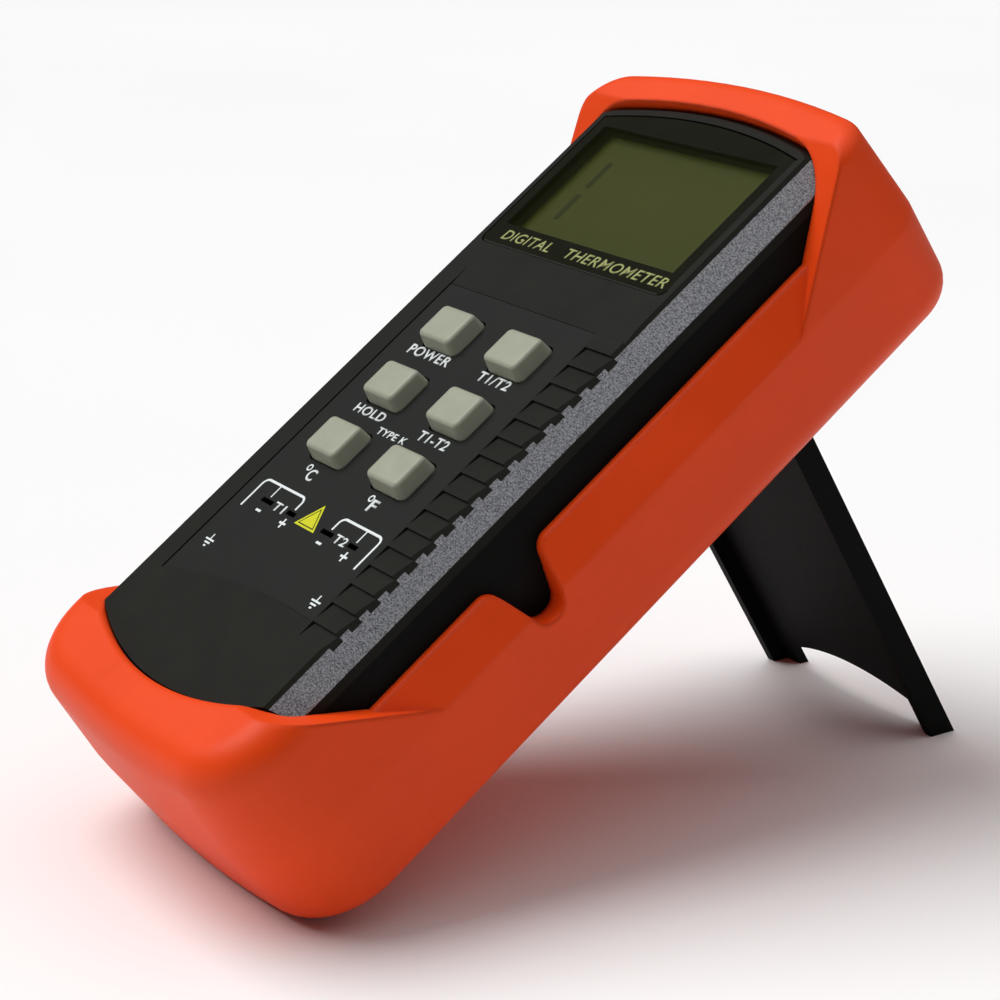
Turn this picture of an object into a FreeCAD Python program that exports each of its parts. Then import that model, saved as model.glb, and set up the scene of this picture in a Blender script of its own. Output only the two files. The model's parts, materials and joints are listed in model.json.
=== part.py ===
import FreeCAD, Part
import math
import os
import re

import Sketcher

# Two-channel thermocouple thermometer in a rubber boot, leaning on its tilt stand.
#
# Every piece is drawn in the meter's own axes: x across the face, y up its length and z out of it,
# with the origin midway between the two inputs, on the printed label. The whole assembly is then
# leaned back and set down with its origin under the middle of its box, +Z up. Millimetres.

SIZES = {
    # attitude
    "lean_angle": 35.83,
    # boot: reach below and above the inputs, depth behind the label, outline radii
    "boot_half": 36.5,
    "boot_low": 47.3,
    "boot_high": 106.0,
    "boot_back": 35.0,
    "boot_lip": 1.6,
    "boot_corner_low": 15.0,
    "boot_corner_high": 10.0,
    "boot_end_low": 230.0,
    "boot_end_high": 165.0,
    "boot_crease": 17.0,
    "boot_draft_front": 5.2,
    "boot_draft_back": 1.5,
    "boot_back_round": 5.5,
    "boot_lip_round_high": 3.0,
    "boot_lip_round_low": 6.0,
    "middle_low": 20.0,
    "middle_high": 80.0,
    "middle_depth": 7.6,
    "boot_gap": 0.25,
    # side cut-down of the boot: a sloping facet between two ramps
    "facet_start": 17.6,
    "facet_start_half": 36.75,
    "facet_top": 10.0,
    "facet_top_half": 33.7,
    "facet_rim_half": 23.0,
    "facet_clear": 45.0,
    "facet_clear_height": 6.0,
    "ramp_high_start": 70.0,
    "ramp_high_end": 100.9,
    "ramp_low_start": 8.6,
    "ramp_low_end": 35.9,
    # side notch of the boot
    "notch_middle": 12.8,
    "notch_floor": 20.3,
    "notch_floor_half": 1.9,
    "notch_mouth_half": 5.2,
    "notch_round": 2.8,
    "notch_lip_round": 3.0,
    # rim of the boot over the low end of the face
    "rim_low": 35.2,
    "rim_side": 27.5,
    "rim_half": 31.0,
    "rim_radius": 66.0,
    "rim_corner": 3.0,
    "rim_depth": 4.2,
    "step_inset": 1.3,
    "rim_round": 1.2,
    # stand pocket in the back of the boot
    "pocket_half": 23.6,
    "pocket_low": 13.0,
    "pocket_depth": 5.0,
    "pocket_round": 1.5,
    "stop_gap": 0.04,
    "scoop_radius": 9.0,
    # tilt stand: a tray on two pips
    "stand_half": 23.1,
    "stand_depth": 4.7,
    "stand_plate": 1.8,
    "stand_flange": 1.8,
    "stand_heel": 1.8,
    "stand_heel_round": 1.5,
    "stand_axis_in": 1.9,
    "stand_angle": 5.3,
    "stand_foot_width": 5.6,
    "stand_arch_rise": 6.2,
    "stand_arch_radius": 40.0,
    "stand_slot_length": 7.0,
    "stand_slot_width": 2.0,
    "stand_slot_across": 17.5,
    "stand_slot_down": 16.0,
    "stand_oval_length": 4.6,
    "stand_oval_down": 26.0,
    "pip_radius": 1.5,
    "pip_reach": 3.0,
    "pip_gap": 0.06,
    "hinge_along": 68.6,
    "hinge_deep": 32.1,
    # case: outline at the parting line
    "case_half": 32.4,
    "case_low": 42.0,
    "case_high": 99.2,
    "case_corner": 9.0,
    "case_end": 110.0,
    "case_parting": 12.9,
    "case_face": 0.2,
    "case_back": 28.0,
    "case_draft_front": 8.65,
    "case_draft_back": 2.0,
    "case_wall": 2.0,
    "bevel_inner": 27.3,
    "bevel_drop": 4.0,
    "end_bevel": 0.9,
    "shell_half_low": 29.6,
    "shell_half_high": 27.0,
    "shell_step": 6.7,
    "shell_ceiling": 2.2,
    "shell_end": 39.4,
    "shell_top": 95.6,
    "shell_shelf": 30.0,
    "shell_corner": 6.0,
    "shell_corner_high": 4.0,
    # face
    "label_left": 22.2,
    "label_right": 20.2,
    "label_top": 49.65,
    "label_low_left": 18.35,
    "label_low_right": 13.45,
    "label_sheet": 0.25,
    "ledge_radius": 133.0,
    "slope_start": 54.0,
    "rib_inner": 20.6,
    "rib_first": 46.76,
    "rib_pitch": 4.0,
    "rib_count": 16,
    "rib_depth": 0.45,
    "rib_run": 3.3,
    "rib_outer": 36.0,
    "lens_half": 26.0,
    "lens_low": 59.7,
    "lens_side_top": 91.6,
    "lens_radius": 107.0,
    "lens_corner": 1.6,
    "lens_seat": 0.85,
    "lens_gap": 0.1,
    "window_half": 23.5,
    "window_low": 64.5,
    "window_high": 89.5,
    # display
    "glass_half": 24.2,
    "glass_low": 63.5,
    "glass_high": 90.2,
    "glass_front": 2.3,
    "glass_back": 4.9,
    "frame_wall": 1.0,
    "frame_gap": 0.2,
    "strip_half": 21.0,
    "strip_width": 2.0,
    # keys
    "key_across": 9.7,
    "key_first": 14.1,
    "key_pitch": 13.25,
    "key_length": 10.0,
    "key_width": 7.8,
    "key_corner": 1.5,
    "key_gap": 0.3,
    "key_top": 2.8,
    "key_draft": 10.5,
    "key_edge": 0.8,
    "key_flange": 1.2,
    "key_flange_margin": 1.1,
    "key_stem_length": 6.0,
    "key_stem_width": 4.6,
    "key_stem_end": 7.1,
    "pill_radius": 2.2,
    "pill_height": 0.6,
    # circuit board
    "board_half": 29.0,
    "board_low": 7.6,
    "board_high": 92.5,
    "board_front": 9.0,
    "board_back": 10.6,
    "board_corner": 5.0,
    "mat_half": 17.4,
    "mat_low": 6.5,
    "mat_high": 48.3,
    "mat_height": 1.0,
    "mat_hole": 3.6,
    # input sockets
    "socket_across": 9.73,
    "socket_pole": 3.96,
    "socket_length": 15.6,
    "socket_width": 9.0,
    "socket_bottom": 15.5,
    "slot_wide": 3.6,
    "slot_narrow": 2.6,
    "slot_height": 0.9,
    "chamber_roof": 4.0,
    "chamber_width": 2.6,
    "contact_sheet": 0.35,
    "contact_gap": 0.6,
    "contact_mouth": 4.6,
    "contact_bottom": 14.6,
    "contact_tail": 17.5,
    # screws and their bosses
    "post_radius": 3.2,
    "post_hole": 1.3,
    "post_high_across": 24.5,
    "post_high_along": 55.5,
    "post_low_across": 24.6,
    "post_low_along": 3.4,
    "case_screw_radius": 1.25,
    "case_screw_head": 2.5,
    "case_screw_head_height": 1.8,
    "case_screw_seat": 24.0,
    "case_screw_tip": 6.0,
    "stud_radius": 2.4,
    "stud_hole": 0.95,
    "stud_across": 24.5,
    "stud_high": 46.5,
    "stud_low": 14.0,
    "board_screw_radius": 0.9,
    "board_screw_head": 2.0,
    "board_screw_head_height": 1.3,
    "board_screw_tip": 4.0,
    # battery bay
    "door_half": 25.6,
    "door_low": 35.3,
    "door_high": 8.2,
    "door_lap": 1.0,
    "door_flange": 1.4,
    "door_sink": 0.8,
    "door_gap": 0.15,
    "door_corner": 2.0,
    "door_tab_half": 5.0,
    "door_tab_high": 1.2,
    "door_screw_along": 4.5,
    "divider_near": 6.4,
    "divider_far": 7.9,
    "battery_start": 25.4,
    "battery_length": 46.4,
    "battery_low": 34.9,
    "battery_width": 26.5,
    "battery_front": 7.6,
    "battery_thick": 17.5,
    "battery_corner": 2.2,
    "terminal_radius": 2.75,
    "terminal_cup": 4.2,
    "terminal_bore": 3.1,
    "terminal_height": 2.4,
    "terminal_spacing": 12.7,
    "snap_thick": 3.0,
    "snap_height": 13.0,
    "snap_gap": 0.15,
    "lead_radius": 0.5,
    "lead_level_red": 11.2,
    "lead_level_black": 12.3,
    "lead_bend": 1.9,
    "lead_run": 28.6,
    "lead_end": 2.0,
    "foam_height": 0.75,
    # parts on the board
    "chip_size": 12.0,
    "chip_height": 2.2,
    "chip_along": 30.0,
    "crystal_radius": 1.5,
    "crystal_length": 8.0,
    "capacitor_radius": 2.5,
    "capacitor_height": 5.4,
    "sensor_length": 4.2,
    "sensor_width": 2.4,
    "sensor_height": 2.6,
    "trimmer_size": 6.6,
    "trimmer_height": 3.0,
    "trimmer_across": 12.0,
    "trimmer_along": 50.5,
    "rotor_radius": 2.0,
    "rotor_height": 1.2,
    "rotor_gap": 0.08,
    "rotor_slot": 0.6,
}

KEY_NAMES = (
    ("power_key", -1, 2),
    ("channel_key", 1, 2),
    ("hold_key", -1, 1),
    ("difference_key", 1, 1),
    ("celsius_key", -1, 0),
    ("fahrenheit_key", 1, 0),
)

ROOT_POINT = -1
X_AXIS = -1
Y_AXIS = -2
START, END, CENTRE = 1, 2, 3
TINY = 1e-9

doc = FreeCAD.newDocument("thermometer")
sheet = doc.addObject("Spreadsheet::Sheet", "sizes")
nodes = {}


def fill_sheet():
    for row, (alias, number) in enumerate(SIZES.items(), start=1):
        sheet.set(f"A{row}", alias)
        sheet.set(f"B{row}", str(number))
        sheet.setAlias(f"B{row}", alias)
    doc.recompute()


def linked(expression):
    """The expression with every size written as a reference to the sheet."""
    words = r"[a-z_]+"
    return re.sub(words, lambda m: "sizes." + m.group() if m.group() in SIZES else m.group(), expression)


def size(expression):
    return float(sheet.evalExpression(expression))


def bind(thing, path, expression):
    thing.setExpression(path, linked(expression))


def place(x="0", y="0", z="0"):
    return FreeCAD.Placement(FreeCAD.Vector(size(x), size(y), size(z)), FreeCAD.Rotation())


# ---------------------------------------------------------------- sketches


def constrain(sketch, kind, *picks, expression=None):
    if expression is None:
        return sketch.addConstraint(Sketcher.Constraint(kind, *picks))
    index = sketch.addConstraint(Sketcher.Constraint(kind, *picks, size(expression)))
    bind(sketch, f"Constraints[{index}]", expression)
    return index


def pin_point(sketch, geometry, pick, x, y):
    """Hold a point at (x, y), both expressions."""
    if abs(size(x)) < TINY:
        constrain(sketch, "PointOnObject", geometry, pick, Y_AXIS)
    else:
        constrain(sketch, "DistanceX", ROOT_POINT, START, geometry, pick, expression=x)
    if abs(size(y)) < TINY:
        constrain(sketch, "PointOnObject", geometry, pick, X_AXIS)
    else:
        constrain(sketch, "DistanceY", ROOT_POINT, START, geometry, pick, expression=y)


def new_sketch(body, name, role="XY_Plane", level="0"):
    sketch = body.newObject("Sketcher::SketchObject", f"{body.Name}_{name}")
    plane = next(f for f in body.Origin.OriginFeatures if f.Role == role)
    sketch.AttachmentSupport = (plane, "")
    sketch.MapMode = "FlatFace"
    bind(sketch, "AttachmentOffset.Base.z", level)
    return sketch


def draw_circle(sketch, x, y, radius):
    centre = FreeCAD.Vector(size(x), size(y), 0)
    circle = sketch.addGeometry(Part.Circle(centre, FreeCAD.Vector(0, 0, 1), size(radius)), False)
    pin_point(sketch, circle, CENTRE, x, y)
    constrain(sketch, "Radius", circle, expression=radius)


def draw_loop(sketch, corners, arcs=None):
    """A closed loop through corners (x, y, radius or None), counter-clockwise, all expressions.

    arcs maps an edge, counted from its first corner, to (radius, side): side is 1 where the loop
    bulges outwards and -1 where it bulges inwards. Such an edge has sharp corners at both ends.
    """
    arcs = arcs or {}
    count = len(corners)
    spots = [FreeCAD.Vector(size(x), size(y), 0) for x, y, _ in corners]
    marks = []
    for (x, y, _), spot in zip(corners, spots):
        mark = sketch.addGeometry(Part.Point(spot), True)
        pin_point(sketch, mark, START, x, y)
        marks.append(mark)

    def trimmed(index, towards):
        """Where the straight edge from corner index towards its neighbour starts."""
        radius = corners[index][2]
        if radius is None:
            return spots[index]
        before = (spots[index - 1] - spots[index]).normalize()
        after = (spots[(index + 1) % count] - spots[index]).normalize()
        half_turn = before.getAngle(after) / 2
        return spots[index] + towards * (size(radius) / math.tan(half_turn))

    edges = []
    for index in range(count):
        following = (index + 1) % count
        first, last = spots[index], spots[following]
        along = (last - first).normalize()
        if index in arcs:
            radius, side = arcs[index]
            reach = math.sqrt(size(radius) ** 2 - (first.distanceToPoint(last) / 2) ** 2)
            leftward = FreeCAD.Vector(-along.y, along.x, 0)
            centre = (first + last) * 0.5 + leftward * (reach * side)
            start, end = (first, last) if side > 0 else (last, first)
            begin = math.atan2(start.y - centre.y, start.x - centre.x)
            finish = math.atan2(end.y - centre.y, end.x - centre.x)
            if finish < begin:
                finish += 2 * math.pi
            circle = Part.Circle(centre, FreeCAD.Vector(0, 0, 1), size(radius))
            edge = sketch.addGeometry(Part.ArcOfCircle(circle, begin, finish), False)
            ends = (START, END) if side > 0 else (END, START)
            constrain(sketch, "Coincident", edge, ends[0], marks[index], START)
            constrain(sketch, "Coincident", edge, ends[1], marks[following], START)
            constrain(sketch, "Radius", edge, expression=radius)
        else:
            line = Part.LineSegment(trimmed(index, along), trimmed(following, along * -1))
            edge = sketch.addGeometry(line, False)
            for corner, pick in ((index, START), (following, END)):
                if corners[corner][2] is None:
                    constrain(sketch, "Coincident", edge, pick, marks[corner], START)
                else:
                    constrain(sketch, "PointOnObject", marks[corner], START, edge)
        edges.append(edge)

    for index, (_, _, radius) in enumerate(corners):
        if radius is None:
            continue
        arriving = (spots[index] - spots[index - 1]).normalize()
        leaving = (spots[(index + 1) % count] - spots[index]).normalize()
        from_point = trimmed(index, arriving * -1)
        to_point = trimmed(index, leaving)
        left_turn = arriving.cross(leaving).z > 0
        inward = FreeCAD.Vector(-arriving.y, arriving.x, 0) * (1 if left_turn else -1)
        centre = from_point + inward * size(radius)
        start, end = (from_point, to_point) if left_turn else (to_point, from_point)
        begin = math.atan2(start.y - centre.y, start.x - centre.x)
        finish = math.atan2(end.y - centre.y, end.x - centre.x)
        if finish < begin:
            finish += 2 * math.pi
        circle = Part.Circle(centre, FreeCAD.Vector(0, 0, 1), size(radius))
        arc = sketch.addGeometry(Part.ArcOfCircle(circle, begin, finish), False)
        picks = (START, END) if left_turn else (END, START)
        constrain(sketch, "Tangent", edges[index - 1], END, arc, picks[0])
        constrain(sketch, "Tangent", arc, picks[1], edges[index], START)
        constrain(sketch, "Radius", arc, expression=radius)


def draw_box(sketch, left, right, low, high, corner=None):
    draw_loop(sketch, [(left, low, corner), (right, low, corner), (right, high, corner), (left, high, corner)])


def draw_bowed_box(sketch, half, low, high, corner_low, corner_high, end_low, end_high):
    """A rounded box whose two ends are shallow arcs, each tangent to its corner arcs."""

    def end_arcs(reach, corner, end, sign):
        end_centre = size(reach) - size(end)
        across = size(half) - size(corner)
        up = math.sqrt((size(end) - size(corner)) ** 2 - across**2)
        return sign * end_centre, across, sign * (end_centre + up), math.atan2(up, across)

    def arc(x, y, radius, begin, finish):
        circle = Part.Circle(FreeCAD.Vector(x, y, 0), FreeCAD.Vector(0, 0, 1), size(radius))
        return sketch.addGeometry(Part.ArcOfCircle(circle, begin, finish), False)

    top_y, top_x, top_corner_y, top_turn = end_arcs(high, corner_high, end_high, 1)
    low_y, low_x, low_corner_y, low_turn = end_arcs(low, corner_low, end_low, -1)
    side = size(half)
    lower = FreeCAD.Vector(side, low_corner_y, 0)
    upper = FreeCAD.Vector(side, top_corner_y, 0)
    mirrored = [FreeCAD.Vector(-side, point.y, 0) for point in (upper, lower)]
    pi = math.pi
    ring = [
        sketch.addGeometry(Part.LineSegment(lower, upper), False),
        arc(top_x, top_corner_y, corner_high, 0, top_turn),
        arc(0, top_y, end_high, top_turn, pi - top_turn),
        arc(-top_x, top_corner_y, corner_high, pi - top_turn, pi),
        sketch.addGeometry(Part.LineSegment(*mirrored), False),
        arc(-low_x, low_corner_y, corner_low, pi, pi + low_turn),
        arc(0, low_y, end_low, pi + low_turn, 2 * pi - low_turn),
        arc(low_x, low_corner_y, corner_low, 2 * pi - low_turn, 2 * pi),
    ]
    right, corner_a, top, corner_b, left, corner_c, bottom, corner_d = ring
    for first, second in zip(ring, ring[1:] + ring[:1]):
        constrain(sketch, "Tangent", first, END, second, START)
    constrain(sketch, "Vertical", right)
    constrain(sketch, "Vertical", left)
    constrain(sketch, "Equal", corner_a, corner_b)
    constrain(sketch, "Equal", corner_c, corner_d)
    constrain(sketch, "Radius", corner_a, expression=corner_high)
    constrain(sketch, "Radius", corner_c, expression=corner_low)
    constrain(sketch, "Radius", top, expression=end_high)
    constrain(sketch, "Radius", bottom, expression=end_low)
    constrain(sketch, "DistanceX", ROOT_POINT, START, right, START, expression=half)
    constrain(sketch, "DistanceX", left, START, ROOT_POINT, START, expression=half)
    for end_arc, reach, radius, sign in ((top, high, end_high, ""), (bottom, low, end_low, "-")):
        constrain(sketch, "PointOnObject", end_arc, CENTRE, Y_AXIS)
        level = f"{sign}(({reach}) - ({radius}))"
        constrain(sketch, "DistanceY", ROOT_POINT, START, end_arc, CENTRE, expression=level)


# ---------------------------------------------------------------- features


def new_body(name):
    body = doc.addObject("PartDesign::Body", name)
    body.Label = name
    nodes[name] = (body, FreeCAD.Placement())
    return body


def feature(body, kind, name, sketch=None, **settings):
    item = body.newObject(f"PartDesign::{kind}", f"{body.Name}_{name}")
    if sketch is not None:
        item.Profile = sketch
    for setting, given in settings.items():
        setattr(item, setting, given)
    return item


def pad(body, name, sketch, length, draft=None, **settings):
    item = feature(body, "Pad", name, sketch, **settings)
    bind(item, "Length", length)
    if draft:
        bind(item, "TaperAngle", draft)
    return item


def volume_of(body):
    doc.recompute()
    return body.Shape.Volume


def pocket(body, name, sketch, length, draft=None, **settings):
    before = volume_of(body)
    item = feature(body, "Pocket", name, sketch, **settings)
    bind(item, "Length", length)
    if draft:
        bind(item, "TaperAngle", draft)
    if not 0 < volume_of(body) < before - TINY:
        raise ValueError(f"{body.Name}: {name} cuts nothing or everything")
    return item


def dress(body, kind, name, amount, wanted):
    """Round or bevel the edges that wanted(edge) picks from the body as it stands."""
    doc.recompute()
    base = body.Tip
    picked = [f"Edge{i}" for i, edge in enumerate(base.Shape.Edges, start=1) if wanted(edge)]
    if not picked:
        raise ValueError(f"{body.Name}: {name} finds no edge")
    item = feature(body, kind, name, Base=(base, picked))
    bind(item, "Size" if kind == "Chamfer" else "Radius", amount)
    before = base.Shape.Volume
    if "Invalid" in item.State or abs(volume_of(body) - before) < TINY:
        raise ValueError(f"{body.Name}: {name} fails")
    return item


def mirrored(body, name, originals):
    doc.recompute()
    plane = next(f for f in body.Origin.OriginFeatures if f.Role == "YZ_Plane")
    item = feature(body, "Mirrored", name, Originals=originals, MirrorPlane=(plane, [""]))
    body.Tip = item
    doc.recompute()
    return item


def spans(edge, **limits):
    """Whether the edge lies inside limits such as z=(low, high)."""
    box = edge.BoundBox
    ranges = {"x": (box.XMin, box.XMax), "y": (box.YMin, box.YMax), "z": (box.ZMin, box.ZMax)}
    return all(ranges[axis][0] >= low and ranges[axis][1] <= high for axis, (low, high) in limits.items())


def near(level, slack=0.02):
    return level - slack, level + slack


# ---------------------------------------------------------------- primitives and groups


def block(name, left, right, low, high, bottom, top):
    box = doc.addObject("Part::Box", name)
    bind(box, "Length", f"({right}) - ({left})")
    bind(box, "Width", f"({high}) - ({low})")
    bind(box, "Height", f"({top}) - ({bottom})")
    bind(box, "Placement.Base.x", left)
    bind(box, "Placement.Base.y", low)
    bind(box, "Placement.Base.z", bottom)
    return box


def rod(name, radius, x, y, bottom, top):
    """A cylinder along z."""
    cylinder = doc.addObject("Part::Cylinder", name)
    bind(cylinder, "Radius", radius)
    bind(cylinder, "Height", f"({top}) - ({bottom})")
    bind(cylinder, "Placement.Base.x", x)
    bind(cylinder, "Placement.Base.y", y)
    bind(cylinder, "Placement.Base.z", bottom)
    return cylinder


def fused(name, pieces):
    joined = doc.addObject("Part::MultiFuse", name)
    joined.Shapes = pieces
    return joined


def cut(name, base, tool):
    item = doc.addObject("Part::Cut", name)
    item.Base = base
    item.Tool = tool
    return item


def group(name, pieces):
    """Identical separate solids under one node."""
    item = doc.addObject("Part::Compound", name)
    item.Links = pieces
    return keep(item)


def keep(item, where=None):
    item.Label = item.Name
    nodes[item.Name] = (item, where or FreeCAD.Placement())
    return item


def single(name, piece):
    """One primitive, under its own node."""
    return group(name, [piece])


# ---------------------------------------------------------------- boot


def key_places():
    for name, side, row in KEY_NAMES:
        yield name, f"{side} * key_across", f"key_first + {row} * key_pitch"


def make_boot():
    body = new_body("protective_boot")
    plan = ("boot_half", "boot_low", "boot_high", "boot_corner_low", "boot_corner_high", "boot_end_low",
            "boot_end_high")
    outline = new_sketch(body, "outline", level="-boot_crease")
    draw_bowed_box(outline, *plan)
    pad(body, "front", outline, "boot_crease + boot_lip", "-boot_draft_front")
    outline_back = new_sketch(body, "outline_back", level="-boot_crease")
    draw_bowed_box(outline_back, *plan)
    pad(body, "back", outline_back, "boot_back - boot_crease", "-boot_draft_back", Reversed=True)
    back = near(-size("boot_back"))
    dress(body, "Fillet", "back_round", "boot_back_round", lambda e: spans(e, z=back))
    middle = new_sketch(body, "middle_outline", level="boot_lip")
    wide = "boot_half + 1"
    draw_box(middle, f"-({wide})", wide, "-middle_low", "middle_high")
    pocket(body, "middle", middle, "middle_depth")
    lip = near(size("boot_lip"))
    for name, low, high in (("high", 0, size("boot_high")), ("low", -size("boot_low"), 0)):
        dress(body, "Fillet", f"lip_round_{name}", f"boot_lip_round_{name}",
              lambda e: spans(e, z=lip, y=(low, high)) and e.BoundBox.YLength > 0.02)
    cut_boot_sides(body)
    hollow_boot(body)
    cut_stand_pocket(body)
    return body


def cut_boot_sides(body):
    """Both sides are cut down between two ramps, and a notch is cut through them."""
    cutter = doc.addObject("PartDesign::Body", "side_cutter")
    above = "facet_clear_height"
    profile = new_sketch(cutter, "profile", "XZ_Plane")
    right = [
        ("facet_rim_half", f"{above} - 2"),
        ("facet_rim_half", "-facet_top"),
        ("facet_top_half", "-facet_top"),
        ("facet_start_half", "-facet_start"),
        ("facet_clear", "-facet_start"),
        ("facet_clear", above),
    ]
    left = [(f"-{x}", z) for x, z in reversed(right)]
    draw_loop(profile, [(x, z, None) for x, z in right + left])
    pad(cutter, "bar", profile, "280", SideType="Symmetric")
    ramps = new_sketch(cutter, "ramps", "YZ_Plane")
    draw_loop(ramps, [
        ("-150", "-facet_start", None),
        ("-ramp_low_start", "-facet_start", None),
        ("-ramp_low_end", above, None),
        ("-150", above, None),
    ])
    draw_loop(ramps, [
        ("ramp_high_start", "-facet_start", None),
        ("160", "-facet_start", None),
        ("160", above, None),
        ("ramp_high_end", above, None),
    ])
    pocket(cutter, "ends", ramps, "2.2 * facet_clear", SideType="Symmetric")
    notch = new_sketch(cutter, "notch", "YZ_Plane")
    middle, floor, mouth = "notch_middle", "notch_floor_half + 0.4", "notch_mouth_half"
    draw_loop(notch, [
        (f"{middle} - ({floor})", "-notch_floor", "notch_round"),
        (f"{middle} + {floor}", "-notch_floor", "notch_round"),
        (f"{middle} + {mouth}", "-facet_top + 0.03", "notch_lip_round"),
        (f"{middle} + 3 * {mouth}", "-facet_top + 0.03", None),
        (f"{middle} + 3 * {mouth}", "0", None),
        (f"{middle} - 3 * {mouth}", "0", None),
        (f"{middle} - 3 * {mouth}", "-facet_top + 0.03", None),
        (f"{middle} - {mouth}", "-facet_top + 0.03", "notch_lip_round"),
    ])
    pad(cutter, "notch_bar", notch, "2 * facet_clear - 2", SideType="Symmetric")
    doc.recompute()
    before = body.Shape.Volume
    item = feature(body, "Boolean", "sides")
    item.Type = "Cut"
    item.addObjects([cutter])
    if not 0 < volume_of(body) < before - TINY:
        raise ValueError("the boot's sides are not cut")


def hollow_boot(body):
    plan = ("case_half + boot_gap", "case_low + boot_gap", "case_high + boot_gap", "case_corner", "case_corner",
            "case_end", "case_end")
    for name, length, draft, upward in (
        ("hollow_back", "case_back + boot_gap - case_parting", "-case_draft_back", False),
        ("hollow_front", "case_parting - rim_depth", "-case_draft_front", True),
    ):
        outline = new_sketch(body, f"{name}_outline", level="-case_parting")
        draw_bowed_box(outline, *plan)
        pocket(body, name, outline, length, draft, Reversed=upward)
    shrink = math.tan(math.radians(size("case_draft_front"))) * (size("case_parting") - size("rim_depth"))
    opening = new_sketch(body, "opening_outline", level="-rim_depth - 0.05")
    half = f"case_half + boot_gap + 0.05 - {shrink:.4f}"
    top = f"case_high + boot_gap + 0.05 - {shrink:.4f}"
    draw_bowed_box(opening, half, "rim_low", top, "rim_corner", "case_corner", "rim_radius", "case_end")
    pocket(body, "opening", opening, "rim_depth + boot_lip + 1", "-case_draft_front", Reversed=True)
    lip = near(size("boot_lip"))
    dress(body, "Fillet", "rim_round", "rim_round",
          lambda e: spans(e, z=lip, y=(-size("boot_low") + 8, -size("rim_side") + 1)) and e.BoundBox.XLength > 40)


def cut_stand_pocket(body):
    outline = new_sketch(body, "pocket_outline", level="-boot_back")
    draw_loop(outline, [
        ("-pocket_half", "-pocket_low", "pocket_round"),
        ("pocket_half", "-pocket_low", "pocket_round"),
        ("pocket_half", "hinge_along", None),
        ("-pocket_half", "hinge_along", None),
    ])
    pocket(body, "stand_pocket", outline, "pocket_depth", Reversed=True)
    end = new_sketch(body, "stop_outline", "YZ_Plane")
    reach = "(stand_depth - stand_axis_in + stop_gap) / cos(stand_angle)"
    draw_loop(end, [
        ("hinge_along - 4", "-boot_back - 1", None),
        (f"hinge_along + {reach} - (boot_back + 1 - hinge_deep) * tan(stand_angle)", "-boot_back - 1", None),
        (f"hinge_along + {reach} + (hinge_deep - boot_back + pocket_depth) * tan(stand_angle)",
         "-boot_back + pocket_depth", None),
        ("hinge_along - 4", "-boot_back + pocket_depth", None),
    ])
    pocket(body, "stop_wall", end, "2 * pocket_half", SideType="Symmetric")
    scoop = new_sketch(body, "scoop_outline", level="-boot_back")
    draw_circle(scoop, "0", "-pocket_low", "scoop_radius")
    pocket(body, "finger_scoop", scoop, "pocket_depth", Reversed=True)
    holes = new_sketch(body, "hinge_outline", "YZ_Plane")
    draw_circle(holes, "hinge_along", "-hinge_deep", "pip_radius + pip_gap")
    pocket(body, "hinge_holes", holes, "2 * (stand_half + pip_reach + 0.6)", SideType="Symmetric")


# ---------------------------------------------------------------- tilt stand


def make_stand(length):
    """The tray, drawn about its hinge: x across, y through the plate and z up it."""
    body = new_body("tilt_stand")
    front = "-stand_axis_in"
    back = "stand_depth - stand_axis_in"
    side = new_sketch(body, "side", "YZ_Plane")
    draw_loop(side, [
        (front, f"-{length[0]}", None),
        (back, f"-{length[1]}", None),
        (back, "stand_heel", "stand_heel_round"),
        (front, "stand_heel", "stand_heel_round"),
    ])
    pad(body, "tray", side, "2 * stand_half", SideType="Symmetric")
    inner = new_sketch(body, "inner", "XZ_Plane", "stand_axis_in")
    wide = "stand_half - stand_flange"
    draw_box(inner, f"-({wide})", wide, "-200", "-stand_heel - 1.5")
    pocket(body, "hollow", inner, "stand_depth - stand_plate")
    arch = new_sketch(body, "arch", "XZ_Plane")
    foot = "stand_half - stand_foot_width"
    level = f"-{length[0]} + stand_arch_rise * 0.45"
    draw_loop(arch, [
        (f"-({foot})", "-100", None),
        (foot, "-100", None),
        (foot, level, None),
        (f"-({foot})", level, None),
    ], {2: ("stand_arch_radius", 1)})
    pocket(body, "foot_arch", arch, "30", SideType="Symmetric")
    slots = new_sketch(body, "slots", "XZ_Plane")
    for side_sign in ("-", ""):
        for name, down in (("stand_slot_length", "stand_slot_down"), ("stand_oval_length", "stand_oval_down")):
            middle = f"{side_sign}stand_slot_across"
            draw_box(slots, f"{middle} - stand_slot_width / 2", f"{middle} + stand_slot_width / 2",
                     f"-{down} - {name} / 2", f"-{down} + {name} / 2", "stand_slot_width * 0.49")
    pocket(body, "slots_cut", slots, "30", SideType="Symmetric")
    pips = new_sketch(body, "pips", "YZ_Plane")
    draw_circle(pips, "0", "0", "pip_radius")
    pad(body, "pip_pair", pips, "2 * (stand_half + pip_reach)", SideType="Symmetric")
    clear = new_sketch(body, "pip_clear", "YZ_Plane")
    draw_box(clear, f"{front} - 1", f"{back} - stand_plate", "-stand_heel - 1.5", "stand_heel + 1")
    pocket(body, "between_pips", clear, f"2 * ({wide})", SideType="Symmetric")
    return body


# ---------------------------------------------------------------- case


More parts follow.
